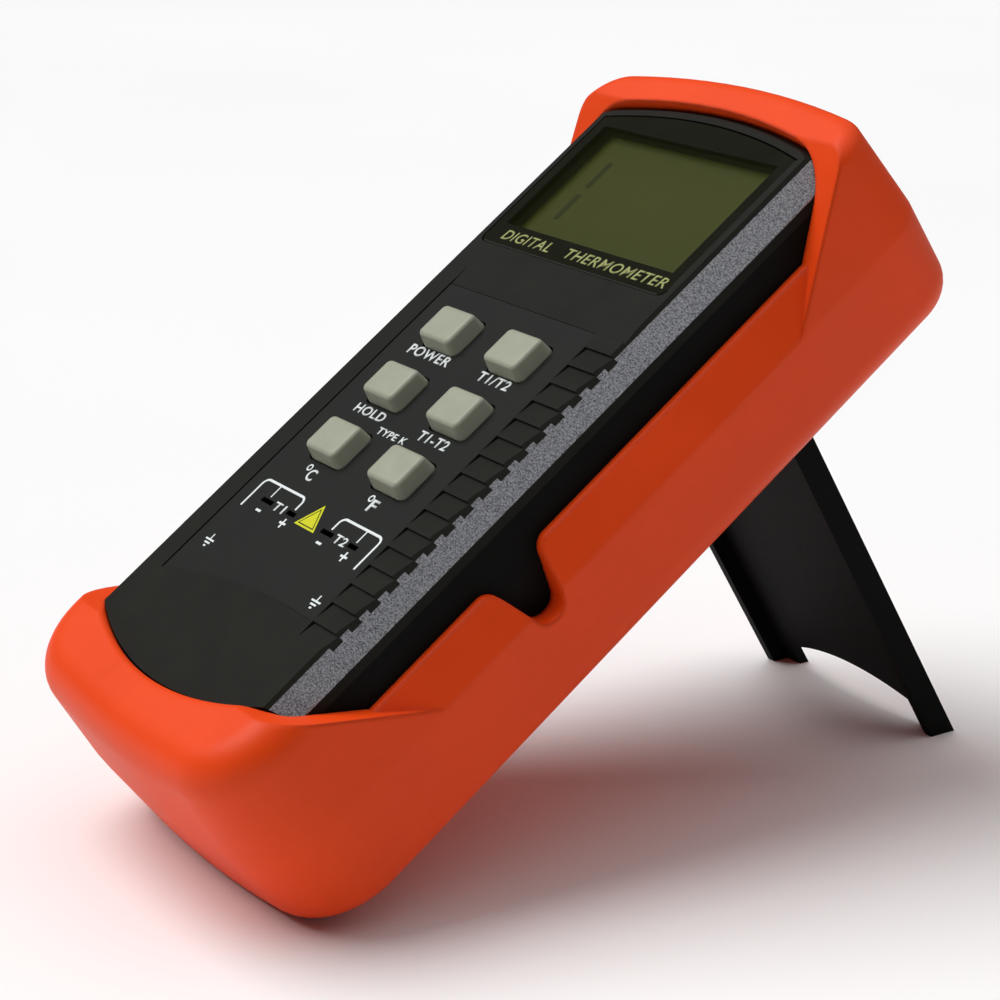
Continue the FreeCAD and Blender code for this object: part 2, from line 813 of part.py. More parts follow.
def make_front_case():
    body = new_body("front_case")
    plan = ("case_half", "case_low", "case_high", "case_corner", "case_corner", "case_end", "case_end")
    outline = new_sketch(body, "outline", level="-case_parting")
    draw_bowed_box(outline, *plan)
    pad(body, "shell", outline, "case_parting + case_face", "-case_draft_front")
    low_step(body)
    bevel = new_sketch(body, "bevel_outline", "XZ_Plane")
    draw_loop(bevel, [
        ("bevel_inner + bevel_drop", "case_face - bevel_drop", None),
        ("bevel_inner + 2 * bevel_drop", "case_face - bevel_drop", None),
        ("bevel_inner + 2 * bevel_drop", "case_face + 1", None),
        ("bevel_inner - 1", "case_face + 1", None),
    ])
    side_bevel = pocket(body, "side_bevel", bevel, "300", SideType="Symmetric")
    mirrored(body, "other_bevel", [side_bevel])
    top_edge = near(size("case_face"))
    dress(body, "Chamfer", "end_bevel", "end_bevel",
          lambda e: spans(e, z=top_edge, y=(size("case_high") - 12, size("case_high"))) and e.BoundBox.XLength > 20)
    hollow_front(body)
    cut_face(body)
    cut_openings(body)
    add_bosses(body)
    return body


def low_step(body):
    """The low end of the face is stepped down, and the boot's rim lies on the step."""
    step = new_sketch(body, "step_outline", level="case_face + 1")
    wide = "rim_half + 6"
    line = "-rim_side - boot_gap + step_inset"
    draw_loop(step, [
        (f"-({wide})", "-case_low - 5", None),
        (wide, "-case_low - 5", None),
        (wide, line, None),
        ("rim_half", line, None),
        ("-rim_half", line, None),
        (f"-({wide})", line, None),
    ], {3: ("rim_radius", -1)})
    pocket(body, "low_step", step, "rim_depth + boot_gap + case_face + 1")


def hollow_front(body):
    lower = new_sketch(body, "hollow_low_outline", level="-case_parting")
    draw_bowed_box(lower, "shell_half_low", "shell_end", "shell_top", "shell_corner", "shell_corner", "case_end",
                   "case_end")
    pocket(body, "hollow_low", lower, "case_parting - shell_step", Reversed=True)
    upper = new_sketch(body, "hollow_high_outline", level="-case_parting")
    draw_bowed_box(upper, "shell_half_high", "shell_shelf", "shell_top - 1", "shell_corner", "shell_corner_high",
                   "case_end", "case_end")
    pocket(body, "hollow_high", upper, "case_parting - shell_ceiling", Reversed=True)


def draw_label(sketch, margin="0"):
    draw_loop(sketch, [
        (f"-label_left - ({margin})", f"-label_low_left - ({margin})", None),
        (f"label_right + {margin}", f"-label_low_right - ({margin})", None),
        (f"label_right + {margin}", f"label_top + {margin}", None),
        (f"-label_left - ({margin})", f"label_top + {margin}", None),
    ], {0: ("ledge_radius", -1)})


def cut_face(body):
    recess = new_sketch(body, "label_outline", level="case_face")
    draw_label(recess, "0.1")
    pocket(body, "label_recess", recess, "case_face + label_sheet")
    slope = new_sketch(body, "slope_outline", "YZ_Plane", "-label_left")
    draw_loop(slope, [
        ("label_top", "0", None),
        ("slope_start", "case_face", None),
        ("slope_start", "case_face + 1", None),
        ("label_top", "case_face + 1", None),
    ])
    pocket(body, "slope", slope, "label_left + rib_outer", Reversed=True)
    ribs = new_sketch(body, "rib_outline", "YZ_Plane", "rib_inner")
    for index in range(SIZES["rib_count"]):
        line = f"rib_first - {index} * rib_pitch"
        draw_loop(ribs, [
            (line, "case_face - rib_depth", None),
            (line, "case_face + 0.2", None),
            (f"{line} - rib_run", "case_face + 0.2", None),
            (f"{line} - rib_run", "case_face", None),
        ])
    pocket(body, "ribs", ribs, "rib_outer - rib_inner", Reversed=True)
    seat = new_sketch(body, "lens_seat_outline", level="case_face")
    draw_lens(seat, "lens_gap")
    pocket(body, "lens_seat", seat, "case_face + lens_seat")


def draw_lens(sketch, margin="0"):
    draw_loop(sketch, [
        (f"-lens_half - ({margin})", f"lens_low - ({margin})", "lens_corner"),
        (f"lens_half + {margin}", f"lens_low - ({margin})", "lens_corner"),
        (f"lens_half + {margin}", f"lens_side_top + {margin}", None),
        (f"-lens_half - ({margin})", f"lens_side_top + {margin}", None),
    ], {2: ("lens_radius", 1)})


def draw_key_holes(sketch, gap):
    length = f"key_length / 2 + {gap}"
    width = f"key_width / 2 + {gap}"
    for _, x, y in key_places():
        draw_box(sketch, f"{x} - ({length})", f"{x} + {length}", f"{y} - ({width})", f"{y} + {width}", "key_corner")


def slot_places():
    """Each input's wide slot is on the left and its narrow slot on the right."""
    for number, side in (("1", "-"), ("2", "")):
        middle = f"{side}socket_across"
        yield f"socket_{number}_wide", f"({middle} - socket_pole)", "slot_wide"
        yield f"socket_{number}_narrow", f"({middle} + socket_pole)", "slot_narrow"


def draw_slots(sketch, length_margin="0", height="slot_height"):
    for _, x, length in slot_places():
        draw_box(sketch, f"{x} - {length} / 2 - ({length_margin})", f"{x} + {length} / 2 + {length_margin}",
                 f"-{height} / 2", f"{height} / 2")


def cut_openings(body):
    window = new_sketch(body, "window_outline", level="case_face")
    draw_box(window, "-window_half", "window_half", "window_low", "window_high")
    pocket(body, "window", window, "case_face + shell_ceiling + 1")
    holes = new_sketch(body, "key_outline", level="case_face")
    draw_key_holes(holes, "key_gap")
    pocket(body, "key_holes", holes, "case_face + shell_ceiling + 1")
    slots = new_sketch(body, "slot_outline", level="case_face")
    draw_slots(slots)
    pocket(body, "slots", slots, "case_face + shell_ceiling + 1")


def post_places():
    for side in ("-", ""):
        yield f"{side}post_high_across", "post_high_along"
        yield f"{side}post_low_across", "post_low_along"


def stud_places():
    for side in ("-", ""):
        yield f"{side}stud_across", "stud_high"
        yield f"{side}stud_across", "-(-stud_low)"


def add_bosses(body):
    for name, places, radius, hole, end, reach in (
        ("post", post_places, "post_radius", "post_hole", "case_parting", "case_screw_tip - 1"),
        ("stud", stud_places, "stud_radius", "stud_hole", "board_front", "board_screw_tip - 0.6"),
    ):
        rounds = new_sketch(body, f"{name}_outline", level="-shell_ceiling + 0.5")
        for x, y in places():
            draw_circle(rounds, x, y, radius)
        pad(body, name, rounds, f"{end} - shell_ceiling + 0.5", Reversed=True)
        bores = new_sketch(body, f"{name}_bore_outline", level=f"-{end}")
        for x, y in places():
            draw_circle(bores, x, y, hole)
        pocket(body, f"{name}_bore", bores, f"{end} - ({reach})", Reversed=True)


def make_rear_case():
    body = new_body("rear_case")
    outline = new_sketch(body, "outline", level="-case_parting")
    draw_bowed_box(outline, "case_half", "case_low", "case_high", "case_corner", "case_corner", "case_end",
                   "case_end")
    pad(body, "shell", outline, "case_back - case_parting", "-case_draft_back", Reversed=True)
    back = near(-size("case_back"))
    dress(body, "Fillet", "back_round", "case_wall * 0.6", lambda e: spans(e, z=back))
    inside = new_sketch(body, "hollow_outline", level="-case_parting")
    draw_bowed_box(inside, "shell_half_low", "shell_end", "shell_top", "shell_corner", "shell_corner", "case_end",
                   "case_end")
    pocket(body, "hollow", inside, "case_back - case_wall - case_parting")
    divider = new_sketch(body, "divider_outline", level="-case_back + case_wall")
    draw_box(divider, "-shell_half_low - 0.2", "shell_half_low + 0.2", "-divider_far", "-divider_near")
    pad(body, "divider", divider, "case_back - case_wall - case_parting - 0.2")
    posts = new_sketch(body, "post_outline", level="-case_back + case_wall")
    for x, y in post_places():
        draw_circle(posts, x, y, "post_radius")
    pad(body, "posts", posts, "case_back - case_wall - case_parting")
    door_post = new_sketch(body, "door_post_outline", level="-case_back + case_wall")
    draw_circle(door_post, "0", "-door_screw_along", "post_radius")
    pad(body, "door_post", door_post, "5")
    bores = new_sketch(body, "bore_outline", level="-case_back")
    for x, y in post_places():
        draw_circle(bores, x, y, "case_screw_radius + 0.3")
    pocket(body, "bores", bores, "case_back - case_parting", Reversed=True)
    wells = new_sketch(body, "well_outline", level="-case_back")
    for x, y in post_places():
        draw_circle(wells, x, y, "case_screw_head + 0.3")
    pocket(body, "wells", wells, "case_back - case_screw_seat", Reversed=True)
    opening = new_sketch(body, "bay_outline", level="-case_back")
    draw_box(opening, "-door_half", "door_half", "-door_low", "-door_high", "door_corner")
    pocket(body, "bay", opening, "case_wall", Reversed=True)
    seat = new_sketch(body, "door_seat_outline", level="-case_back")
    draw_door(seat, "0")
    pocket(body, "door_seat", seat, "door_flange", Reversed=True)
    tap = new_sketch(body, "door_tap_outline", level="-case_back")
    draw_circle(tap, "0", "-door_screw_along", "post_hole")
    pocket(body, "door_tap", tap, "6", Reversed=True)
    return body


def draw_door(sketch, shrink):
    """The door's flange, with its screw tab."""
    half = f"door_half + door_lap - {shrink}"
    low = f"-door_low - door_lap + {shrink}"
    high = f"-door_high + door_lap - {shrink}"
    tab = f"door_tab_half - {shrink}"
    tab_high = f"-door_tab_high - {shrink}"
    draw_loop(sketch, [
        (f"-({half})", low, "door_corner"),
        (half, low, "door_corner"),
        (half, high, "door_corner"),
        (tab, high, None),
        (tab, tab_high, "door_corner"),
        (f"-({tab})", tab_high, "door_corner"),
        (f"-({tab})", high, None),
        (f"-({half})", high, "door_corner"),
    ])


def make_battery_door():
    body = new_body("battery_door")
    flange = new_sketch(body, "flange_outline", level="-case_back")
    draw_door(flange, "door_gap")
    pad(body, "flange", flange, "door_flange")
    plug = new_sketch(body, "plug_outline", level="-case_back")
    half = "door_half - door_gap"
    draw_box(plug, f"-({half})", half, "-door_low + door_gap", "-door_high - door_gap", "door_corner")
    pad(body, "plug", plug, "case_wall")
    hole = new_sketch(body, "hole_outline", level="-case_back")
    draw_circle(hole, "0", "-door_screw_along", "case_screw_radius + 0.3")
    pocket(body, "hole", hole, "case_wall", Reversed=True)
    sink = new_sketch(body, "sink_outline", level="-case_back")
    draw_circle(sink, "0", "-door_screw_along", "case_screw_head + 0.2")
    pocket(body, "sink", sink, "door_sink", Reversed=True)


# ---------------------------------------------------------------- face parts


def make_label():
    body = new_body("face_label")
    outline = new_sketch(body, "outline", level="-label_sheet")
    draw_label(outline)
    pad(body, "print_sheet", outline, "label_sheet")
    holes = new_sketch(body, "hole_outline", level="-label_sheet")
    draw_key_holes(holes, "key_gap")
    draw_slots(holes)
    pocket(body, "holes", holes, "label_sheet", Reversed=True)


def make_lens():
    body = new_body("display_window")
    outline = new_sketch(body, "outline", level="-lens_seat")
    draw_lens(outline)
    pad(body, "plate", outline, "lens_seat + case_face")
    face = near(size("case_face"))
    dress(body, "Chamfer", "edge", "lens_gap * 2.5", lambda e: spans(e, z=face))


def make_display():
    glass = new_body("display_glass")
    outline = new_sketch(glass, "outline", level="-glass_back")
    draw_box(outline, "-glass_half", "glass_half", "glass_low", "glass_high")
    pad(glass, "cell", outline, "glass_back - glass_front")
    frame = new_body("display_frame")
    outer = new_sketch(frame, "outline", level="-board_front + 0.05")
    margin = "frame_gap + frame_wall"
    draw_box(outer, f"-glass_half - ({margin})", f"glass_half + {margin}", f"glass_low - ({margin})",
             f"glass_high + {margin}", "frame_wall * 0.8")
    draw_box(outer, "-glass_half - frame_gap", "glass_half + frame_gap", "glass_low - frame_gap",
             "glass_high + frame_gap")
    pad(frame, "ring", outer, "board_front - 0.05 - glass_front")
    strips = []
    for name, low in (("low", "glass_low + 0.3"), ("high", "glass_high - 0.3 - strip_width")):
        strips.append(block(f"strip_{name}", "-strip_half", "strip_half", low, f"{low} + strip_width",
                            "-board_front + 0.02", "-glass_back - 0.02"))
    group("contact_strips", strips)


def make_keys():
    for name, x, y in key_places():
        body = new_body(name)
        where = place(x, y)
        half_length, half_width = "key_length / 2", "key_width / 2"
        shank = new_sketch(body, "shank_outline", level="-shell_ceiling - 0.1")
        draw_box(shank, f"-{half_length}", half_length, f"-{half_width}", half_width, "key_corner")
        pad(body, "shank", shank, "shell_ceiling + 0.1")
        cap = new_sketch(body, "cap_outline", level="0")
        draw_box(cap, f"-{half_length}", half_length, f"-{half_width}", half_width, "key_corner")
        pad(body, "cap", cap, "key_top", "-key_draft")
        top = near(size("key_top"))
        dress(body, "Fillet", "top_edge", "key_edge", lambda e: spans(e, z=top))
        flange = new_sketch(body, "flange_outline", level="-shell_ceiling - 0.1")
        margin = "key_flange_margin"
        draw_box(flange, f"-{half_length} - {margin}", f"{half_length} + {margin}", f"-{half_width} - {margin}",
                 f"{half_width} + {margin}", "key_corner")
        pad(body, "flange", flange, "key_flange", Reversed=True)
        stem = new_sketch(body, "stem_outline", level="-shell_ceiling - 0.1 - key_flange")
        draw_box(stem, "-key_stem_length / 2", "key_stem_length / 2", "-key_stem_width / 2", "key_stem_width / 2",
                 "key_corner * 0.6")
        pad(body, "stem", stem, "key_stem_end - shell_ceiling - 0.1 - key_flange", Reversed=True)
        nodes[name] = (body, where)
        single(f"{name}_pill", rod(f"{name}_pill_disc", "pill_radius", x, y, "-key_stem_end - pill_height",
                                   "-key_stem_end"))


def make_key_sheet():
    body = new_body("key_sheet")
    outline = new_sketch(body, "outline", level="-board_front")
    draw_box(outline, "-mat_half", "mat_half", "mat_low", "mat_high", "key_corner")
    for _, x, y in key_places():
        draw_circle(outline, x, y, "mat_hole")
    pad(body, "sheet", outline, "mat_height")


# ---------------------------------------------------------------- board and inputs


def make_board():
    body = new_body("circuit_board")
    outline = new_sketch(body, "outline", level="-board_back")
    draw_box(outline, "-board_half", "board_half", "-board_low", "board_high", "board_corner")
    for x, y in post_places():
        draw_circle(outline, x, y, "post_radius + 0.3")
    for x, y in stud_places():
        draw_circle(outline, x, y, "board_screw_radius + 0.15")
    for side in ("-", ""):
        middle = f"{side}socket_across"
        draw_box(outline, f"{middle} - socket_length / 2 - 0.2", f"{middle} + socket_length / 2 + 0.2",
                 "-socket_width / 2 - 0.2", "socket_width / 2 + 0.2")
    pad(body, "laminate", outline, "board_back - board_front")


def make_sockets():
    for number, side in (("1", "-"), ("2", "")):
        body = new_body(f"input_socket_{number}")
        outline = new_sketch(body, "outline", level="-socket_bottom")
        half_length, half_width = "socket_length / 2", "socket_width / 2"
        draw_box(outline, f"-{half_length}", half_length, f"-{half_width}", half_width, "key_corner")
        pad(body, "block", outline, "socket_bottom - shell_ceiling - 0.1")
        mouths = new_sketch(body, "mouth_outline", level="-shell_ceiling")
        chambers = new_sketch(body, "chamber_outline", level="-socket_bottom")
        for pole, length in (("-socket_pole", "slot_wide"), ("socket_pole", "slot_narrow")):
            left, right = f"{pole} - {length} / 2", f"{pole} + {length} / 2"
            draw_box(mouths, left, right, "-slot_height / 2", "slot_height / 2")
            draw_box(chambers, left, right, "-chamber_width / 2", "chamber_width / 2")
        pocket(body, "mouths", mouths, "chamber_roof")
        pocket(body, "chambers", chambers, "socket_bottom - chamber_roof", Reversed=True)
        nodes[body.Name] = (body, place(f"{side}socket_across"))


def make_contacts():
    """Each contact is a strip folded into a U, with a tail below for the board."""
    outer = "contact_gap / 2 + contact_sheet"
    inner = "contact_gap / 2"
    for name, x, length in slot_places():
        body = new_body(f"{name}_contact")
        fold = new_sketch(body, "fold", "YZ_Plane")
        draw_loop(fold, [
            (f"-({outer})", "-contact_tail", None),
            (f"-({inner})", "-contact_tail", None),
            (f"-({inner})", "-contact_bottom", None),
            (outer, "-contact_bottom", None),
            (outer, "-contact_mouth", None),
            (inner, "-contact_mouth", None),
            (inner, "-contact_bottom + contact_sheet", None),
            (f"-({inner})", "-contact_bottom + contact_sheet", None),
            (f"-({inner})", "-contact_mouth", None),
            (f"-({outer})", "-contact_mouth", None),
        ])
        pad(body, "strip", fold, f"{length} - 0.4", SideType="Symmetric")
        nodes[body.Name] = (body, place(x))


def make_board_parts():
    chip = new_body("main_chip")
    outline = new_sketch(chip, "outline", level="-board_back - 0.1")
    draw_box(outline, "-chip_size / 2", "chip_size / 2", "chip_along - chip_size / 2", "chip_along + chip_size / 2")
    pad(chip, "package", outline, "chip_height", Reversed=True)
    face = near(-size("board_back + 0.1 + chip_height"))
    dress(chip, "Chamfer", "edge", "chip_height * 0.25", lambda e: spans(e, z=face))

    crystal = single("crystal", rod("crystal_can", "crystal_radius", "0", "0", "0", "crystal_length"))
    lying = FreeCAD.Rotation(FreeCAD.Vector(0, 1, 0), 90)
    spot = FreeCAD.Vector(size("chip_size"), size("chip_along"), -size("board_back + crystal_radius + 0.05"))
    keep(crystal, FreeCAD.Placement(spot, lying))

    cans = []
    for index, x in enumerate(("-chip_size - 2", "-chip_size - 8", "chip_size + 4")):
        cans.append(rod(f"can_{index}", "capacitor_radius", x, "chip_along + 8", "-board_back - capacitor_height",
                        "-board_back - 0.05"))
    group("capacitors", cans)

    sensors = []
    for index, side in enumerate(("-", "")):
        middle = f"{side}socket_across"
        sensors.append(block(f"sensor_{index}", f"{middle} - sensor_length / 2", f"{middle} + sensor_length / 2",
                             "-board_low + 0.4", "-board_low + 0.4 + sensor_width", "-board_front + 0.02",
                             "-board_front + sensor_height"))
    group("cold_junction_sensors", sensors)


def make_trimmers():
    top = "-board_back - 0.05"
    bottom = "-board_back - 0.05 - trimmer_height"
    for number, side in (("1", "-"), ("2", "")):
        x = f"{side}trimmer_across"
        half = "trimmer_size / 2"
        box = block(f"trimmer_{number}_block", f"{x} - {half}", f"{x} + {half}", f"trimmer_along - {half}",
                    f"trimmer_along + {half}", bottom, top)
        well = rod(f"trimmer_{number}_well", "rotor_radius + rotor_gap", x, "trimmer_along", f"{bottom} - 1",
                   f"{bottom} + rotor_height + 0.4")
        keep(cut(f"trimmer_body_{number}", box, well))
        disc = rod(f"trimmer_{number}_disc", "rotor_radius", x, "trimmer_along", f"{bottom} + 0.2",
                   f"{bottom} + 0.2 + rotor_height")
        groove = block(f"trimmer_{number}_groove", f"{x} - rotor_radius - 1", f"{x} + rotor_radius + 1",
                       "trimmer_along - rotor_slot / 2", "trimmer_along + rotor_slot / 2", f"{bottom} - 1",
                       f"{bottom} + 0.2 + rotor_height * 0.45")
        keep(cut(f"trimmer_rotor_{number}", disc, groove))


def screw(name, x, y, radius, head, head_height, seat, tip):
    """A pan-head screw driven from behind: its head lies below the seat and its tip points forward."""
    shank = rod(f"{name}_shank", radius, x, y, f"-({seat}) - 0.2", f"-({tip})")
    pan = rod(f"{name}_pan", head, x, y, f"-({seat}) - {head_height}", f"-({seat})")
    joined = fused(f"{name}_blank", [shank, pan])
    arms = [
        block(f"{name}_arm_a", f"{x} - {head} * 0.6", f"{x} + {head} * 0.6", f"{y} - {head} * 0.12",
              f"{y} + {head} * 0.12", f"-({seat}) - {head_height} - 1", f"-({seat}) - {head_height} * 0.5"),
        block(f"{name}_arm_b", f"{x} - {head} * 0.12", f"{x} + {head} * 0.12", f"{y} - {head} * 0.6",
              f"{y} + {head} * 0.6", f"-({seat}) - {head_height} - 1", f"-({seat}) - {head_height} * 0.5"),
    ]
    return cut(name, joined, fused(f"{name}_cross", arms))


def make_screws():
    long_screws = [
        screw(f"case_screw_{index}", x, y, "case_screw_radius", "case_screw_head", "case_screw_head_height",
              "case_screw_seat", "case_screw_tip")
        for index, (x, y) in enumerate(post_places())
    ]
    group("case_screws", long_screws)
    short_screws = [
        screw(f"board_screw_{index}", x, y, "board_screw_radius", "board_screw_head", "board_screw_head_height",
              "board_back + 0.02", "board_screw_tip")
        for index, (x, y) in enumerate(stud_places())
    ]
    group("board_screws", short_screws)
    door = screw("door_screw", "0", "-door_screw_along", "case_screw_radius", "case_screw_head",
                 "door_sink - 0.1", "case_back - door_sink", "case_back - 5")
    keep(door)


# ---------------------------------------------------------------- battery


def terminal_places():
    middle = "(-battery_low + battery_width / 2)"
    return (f"{middle} + terminal_spacing / 2", f"{middle} - terminal_spacing / 2")


def make_battery():
    body = new_body("battery")
    outline = new_sketch(body, "outline", "YZ_Plane", "-battery_start")
    draw_box(outline, "-battery_low", "-battery_low + battery_width", "-battery_front - battery_thick",
             "-battery_front", "battery_corner")
    pad(body, "can", outline, "battery_length")
    stud_along, cup_along = terminal_places()
    level = "-battery_front - battery_thick / 2"
    terminals = new_sketch(body, "terminals", "YZ_Plane", "battery_length - battery_start")
    draw_circle(terminals, stud_along, level, "terminal_radius")
    draw_circle(terminals, cup_along, level, "terminal_cup")
    draw_circle(terminals, cup_along, level, "terminal_bore")
    pad(body, "terminal_pair", terminals, "terminal_height")


def make_snap():
    """The snap carries the opposite terminals: a cup over the stud and a stud in the cup."""
    body = new_body("battery_snap")
    face = "battery_length - battery_start + terminal_height + snap_gap"
    middle = "-battery_front - battery_thick / 2"
    plate = new_sketch(body, "plate_outline", "YZ_Plane", face)
    draw_box(plate, "-battery_low + 0.4", "-battery_low + battery_width - 0.4", f"{middle} - snap_height / 2",
             f"{middle} + snap_height / 2", "battery_corner")
    pad(body, "plate", plate, "snap_thick")
    stud_along, cup_along = terminal_places()
    mates = new_sketch(body, "mate_outline", "YZ_Plane", face)
    draw_circle(mates, stud_along, middle, "terminal_radius + 1.2")
    draw_circle(mates, stud_along, middle, "terminal_radius + snap_gap")
    draw_circle(mates, cup_along, middle, "terminal_bore - snap_gap")
    pad(body, "mates", mates, "terminal_height - snap_gap", Reversed=True)


def make_leads():
    """Two wires run out of the snap, round a bend and along the wall to the board's underside."""
    start = "battery_length - battery_start + terminal_height + snap_gap + snap_thick"
    stud_along, cup_along = terminal_places()
    for name, begin, level in (
        ("red_lead", stud_along, "-lead_level_red"),
        ("black_lead", cup_along, "-lead_level_black"),
    ):
        body = new_body(name)
        path = new_sketch(body, "route", level=level)
        x_start, y_start, x_run = size(start), size(begin), size("lead_run")
        bend, y_end = size("lead_bend"), -size("lead_end")
        corner = FreeCAD.Vector(x_run - bend, y_start + bend, 0)
        out = path.addGeometry(Part.LineSegment(FreeCAD.Vector(x_start, y_start, 0),
                                                FreeCAD.Vector(x_run - bend, y_start, 0)), False)
        circle = Part.Circle(corner, FreeCAD.Vector(0, 0, 1), bend)
        turn = path.addGeometry(Part.ArcOfCircle(circle, -math.pi / 2, 0), False)
        run = path.addGeometry(Part.LineSegment(FreeCAD.Vector(x_run, y_start + bend, 0),
                                                FreeCAD.Vector(x_run, y_end, 0)), False)
        pin_point(path, out, START, start, begin)
        constrain(path, "Horizontal", out)
        constrain(path, "Tangent", out, END, turn, START)
        constrain(path, "Tangent", turn, END, run, START)
        constrain(path, "Radius", turn, expression="lead_bend")
        pin_point(path, run, END, "lead_run", "-lead_end")
        section = new_sketch(body, "section", "YZ_Plane", start)
        draw_circle(section, begin, level, "lead_radius")
        feature(body, "AdditivePipe", "wire", section, Spine=(path, []))


def make_foam():
    pad_block = block("foam_block", "-battery_start + 4", "battery_length - battery_start - 4", "-battery_low + 3",
                      "-battery_low + battery_width - 3", "-case_back + case_wall + 0.05",
                      "-case_back + case_wall + 0.05 + foam_height")
    single("battery_foam", pad_block)


# ---------------------------------------------------------------- assembly


def floor_and_feet(boot):
    """The level of the surface under the leaning boot, and how long the stand's two faces are."""
    lean = FreeCAD.Rotation(FreeCAD.Vector(1, 0, 0), size("lean_angle"))
    leaned = boot.Shape.copy()
    leaned.Placement = FreeCAD.Placement(FreeCAD.Vector(), lean)
    floor = min(vertex.z for vertex in leaned.tessellate(0.02)[0])
    swing = FreeCAD.Rotation(FreeCAD.Vector(1, 0, 0), size("lean_angle - stand_angle"))
    hinge = lean.multVec(FreeCAD.Vector(0, size("hinge_along"), -size("hinge_deep")))
    lengths = []
    for through in ("-stand_axis_in", "stand_depth - stand_axis_in"):
        edge = hinge + swing.multVec(FreeCAD.Vector(0, size(through), 0))
        drop = swing.multVec(FreeCAD.Vector(0, 0, -1))
        lengths.append(f"{(floor - edge.z) / drop.z:.4f}")
    return floor, lengths


def check_objects():
    doc.recompute()
    for item in doc.Objects:
        if "Invalid" in item.State or "Error" in item.State:
            raise ValueError(f"{item.Name} is {item.State}")
    for name, (item, _) in nodes.items():
        if item.Shape.isNull() or not item.Shape.isValid():
            raise ValueError(f"{name} has no valid shape")


def settle(floor):
    """Lean every piece back, set the assembly on z = 0 and centre its box on the origin."""
    lean = FreeCAD.Placement(FreeCAD.Vector(0, 0, -floor), FreeCAD.Rotation(FreeCAD.Vector(1, 0, 0),
                                                                          size("lean_angle")))
    for item, where in nodes.values():
        item.Placement = lean.multiply(where)
    check_objects()
    corners = [point for name in ("protective_boot", "tilt_stand") for point in nodes[name][0].Shape.tessellate(0.02)[0]]
    middle = (min(p.y for p in corners) + max(p.y for p in corners)) / 2
    centred = FreeCAD.Placement(FreeCAD.Vector(0, -middle, 0), FreeCAD.Rotation())
    for item, _ in nodes.values():
        item.Placement = centred.multiply(item.Placement)
    check_objects()
    print(f"floor {floor:.4f}, middle {middle:.4f}")


def main():
    fill_sheet()
    boot = make_boot()
    doc.recompute()
    floor, feet = floor_and_feet(boot)
    make_stand(feet)
    hinge = FreeCAD.Vector(0, size("hinge_along"), -size("hinge_deep"))
    swing = FreeCAD.Rotation(FreeCAD.Vector(1, 0, 0), -size("stand_angle"))
    nodes["tilt_stand"] = (nodes["tilt_stand"][0], FreeCAD.Placement(hinge, swing))
    make_front_case()
    make_rear_case()
    make_battery_door()
    make_label()
    make_lens()
    make_display()
    make_keys()
    make_key_sheet()
    make_board()
    make_sockets()
    make_contacts()
    make_board_parts()
    make_trimmers()
    make_screws()
    make_battery()
    make_snap()
    make_leads()
    make_foam()
    settle(floor)
    os.makedirs("parts", exist_ok=True)
    for name, (item, _) in nodes.items():
        item.Shape.exportStep(f"parts/{name}.step")
        print(f"{name}: {len(item.Shape.Solids)} solid(s), {item.Shape.Volume:.1f} mm3")


main()
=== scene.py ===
import json
import math

import bmesh
import bpy
from mathutils import Matrix, Vector


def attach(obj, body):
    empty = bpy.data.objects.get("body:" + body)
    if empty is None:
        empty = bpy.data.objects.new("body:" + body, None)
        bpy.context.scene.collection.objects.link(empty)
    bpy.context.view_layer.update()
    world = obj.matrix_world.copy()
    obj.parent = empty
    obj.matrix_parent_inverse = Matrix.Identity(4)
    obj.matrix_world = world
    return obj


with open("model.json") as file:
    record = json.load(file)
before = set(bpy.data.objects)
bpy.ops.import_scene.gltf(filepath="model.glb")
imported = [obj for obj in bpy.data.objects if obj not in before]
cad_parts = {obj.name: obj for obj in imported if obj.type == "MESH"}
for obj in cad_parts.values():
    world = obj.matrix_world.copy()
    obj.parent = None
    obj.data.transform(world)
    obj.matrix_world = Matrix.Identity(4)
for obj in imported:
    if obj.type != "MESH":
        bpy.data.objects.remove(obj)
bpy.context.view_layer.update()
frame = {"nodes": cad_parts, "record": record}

# A dual-input thermocouple thermometer in an orange rubber boot, leaning on its tilt stand.
#
# Places on the face are in millimetres: x across it, y up it and z out of it, from midway between
# the two inputs. FACE turns them into the row frame, in metres. Boxes for words are (left, low,
# right, high).

MM = 0.001
nodes = frame["nodes"]


def face_frame():
    mounts = {mount["name"]: mount for mount in frame["record"]["mounts"]}
    left = Vector(mounts["input_1"]["pos_m"])
    right = Vector(mounts["input_2"]["pos_m"])
    out = Vector(mounts["input_1"]["axis"]).normalized()
    across = (right - left).normalized()
    up = out.cross(across)
    turn = Matrix((across, up, out)).transposed().to_4x4()
    return Matrix.Translation((left + right) / 2) @ turn @ Matrix.Scale(MM, 4)


FACE = face_frame()
FACE_ORIGIN = FACE.to_translation()
FACE_TURN = FACE.to_euler()

# Levels of the surfaces that are printed on, and the thickness of the ink.
LABEL_TOP = 0.0
WINDOW_TOP = 0.2
GLASS_TOP = -2.3
INK = 0.03

# The two side bevels are the planes where |x| + z is BEVEL_SUM. They are silver beyond SILVER_INNER,
# and beside the ribs the silver steps back by TOOTH over the last part of each rib's pitch.
BEVEL_SUM = 27.5
BEVEL_SLACK = 0.15
SILVER_INNER = 27.9
RIB_FIRST = 46.76
RIB_LAST = -16.9
RIB_PITCH = 4.0
TOOTH_START = 0.45
TOOTH = 0.55
# Above this level the case is painted paler, as light on the face; below it darker, as painted shade on the
# sides.
PAINTED_SHADE_LEVEL = -5.2

# The display's opening, which the window's printed border leaves clear.
WINDOW_HALF = 23.5
WINDOW_LOW = 64.5
WINDOW_HIGH = 89.5


# ---------------------------------------------------------------- materials


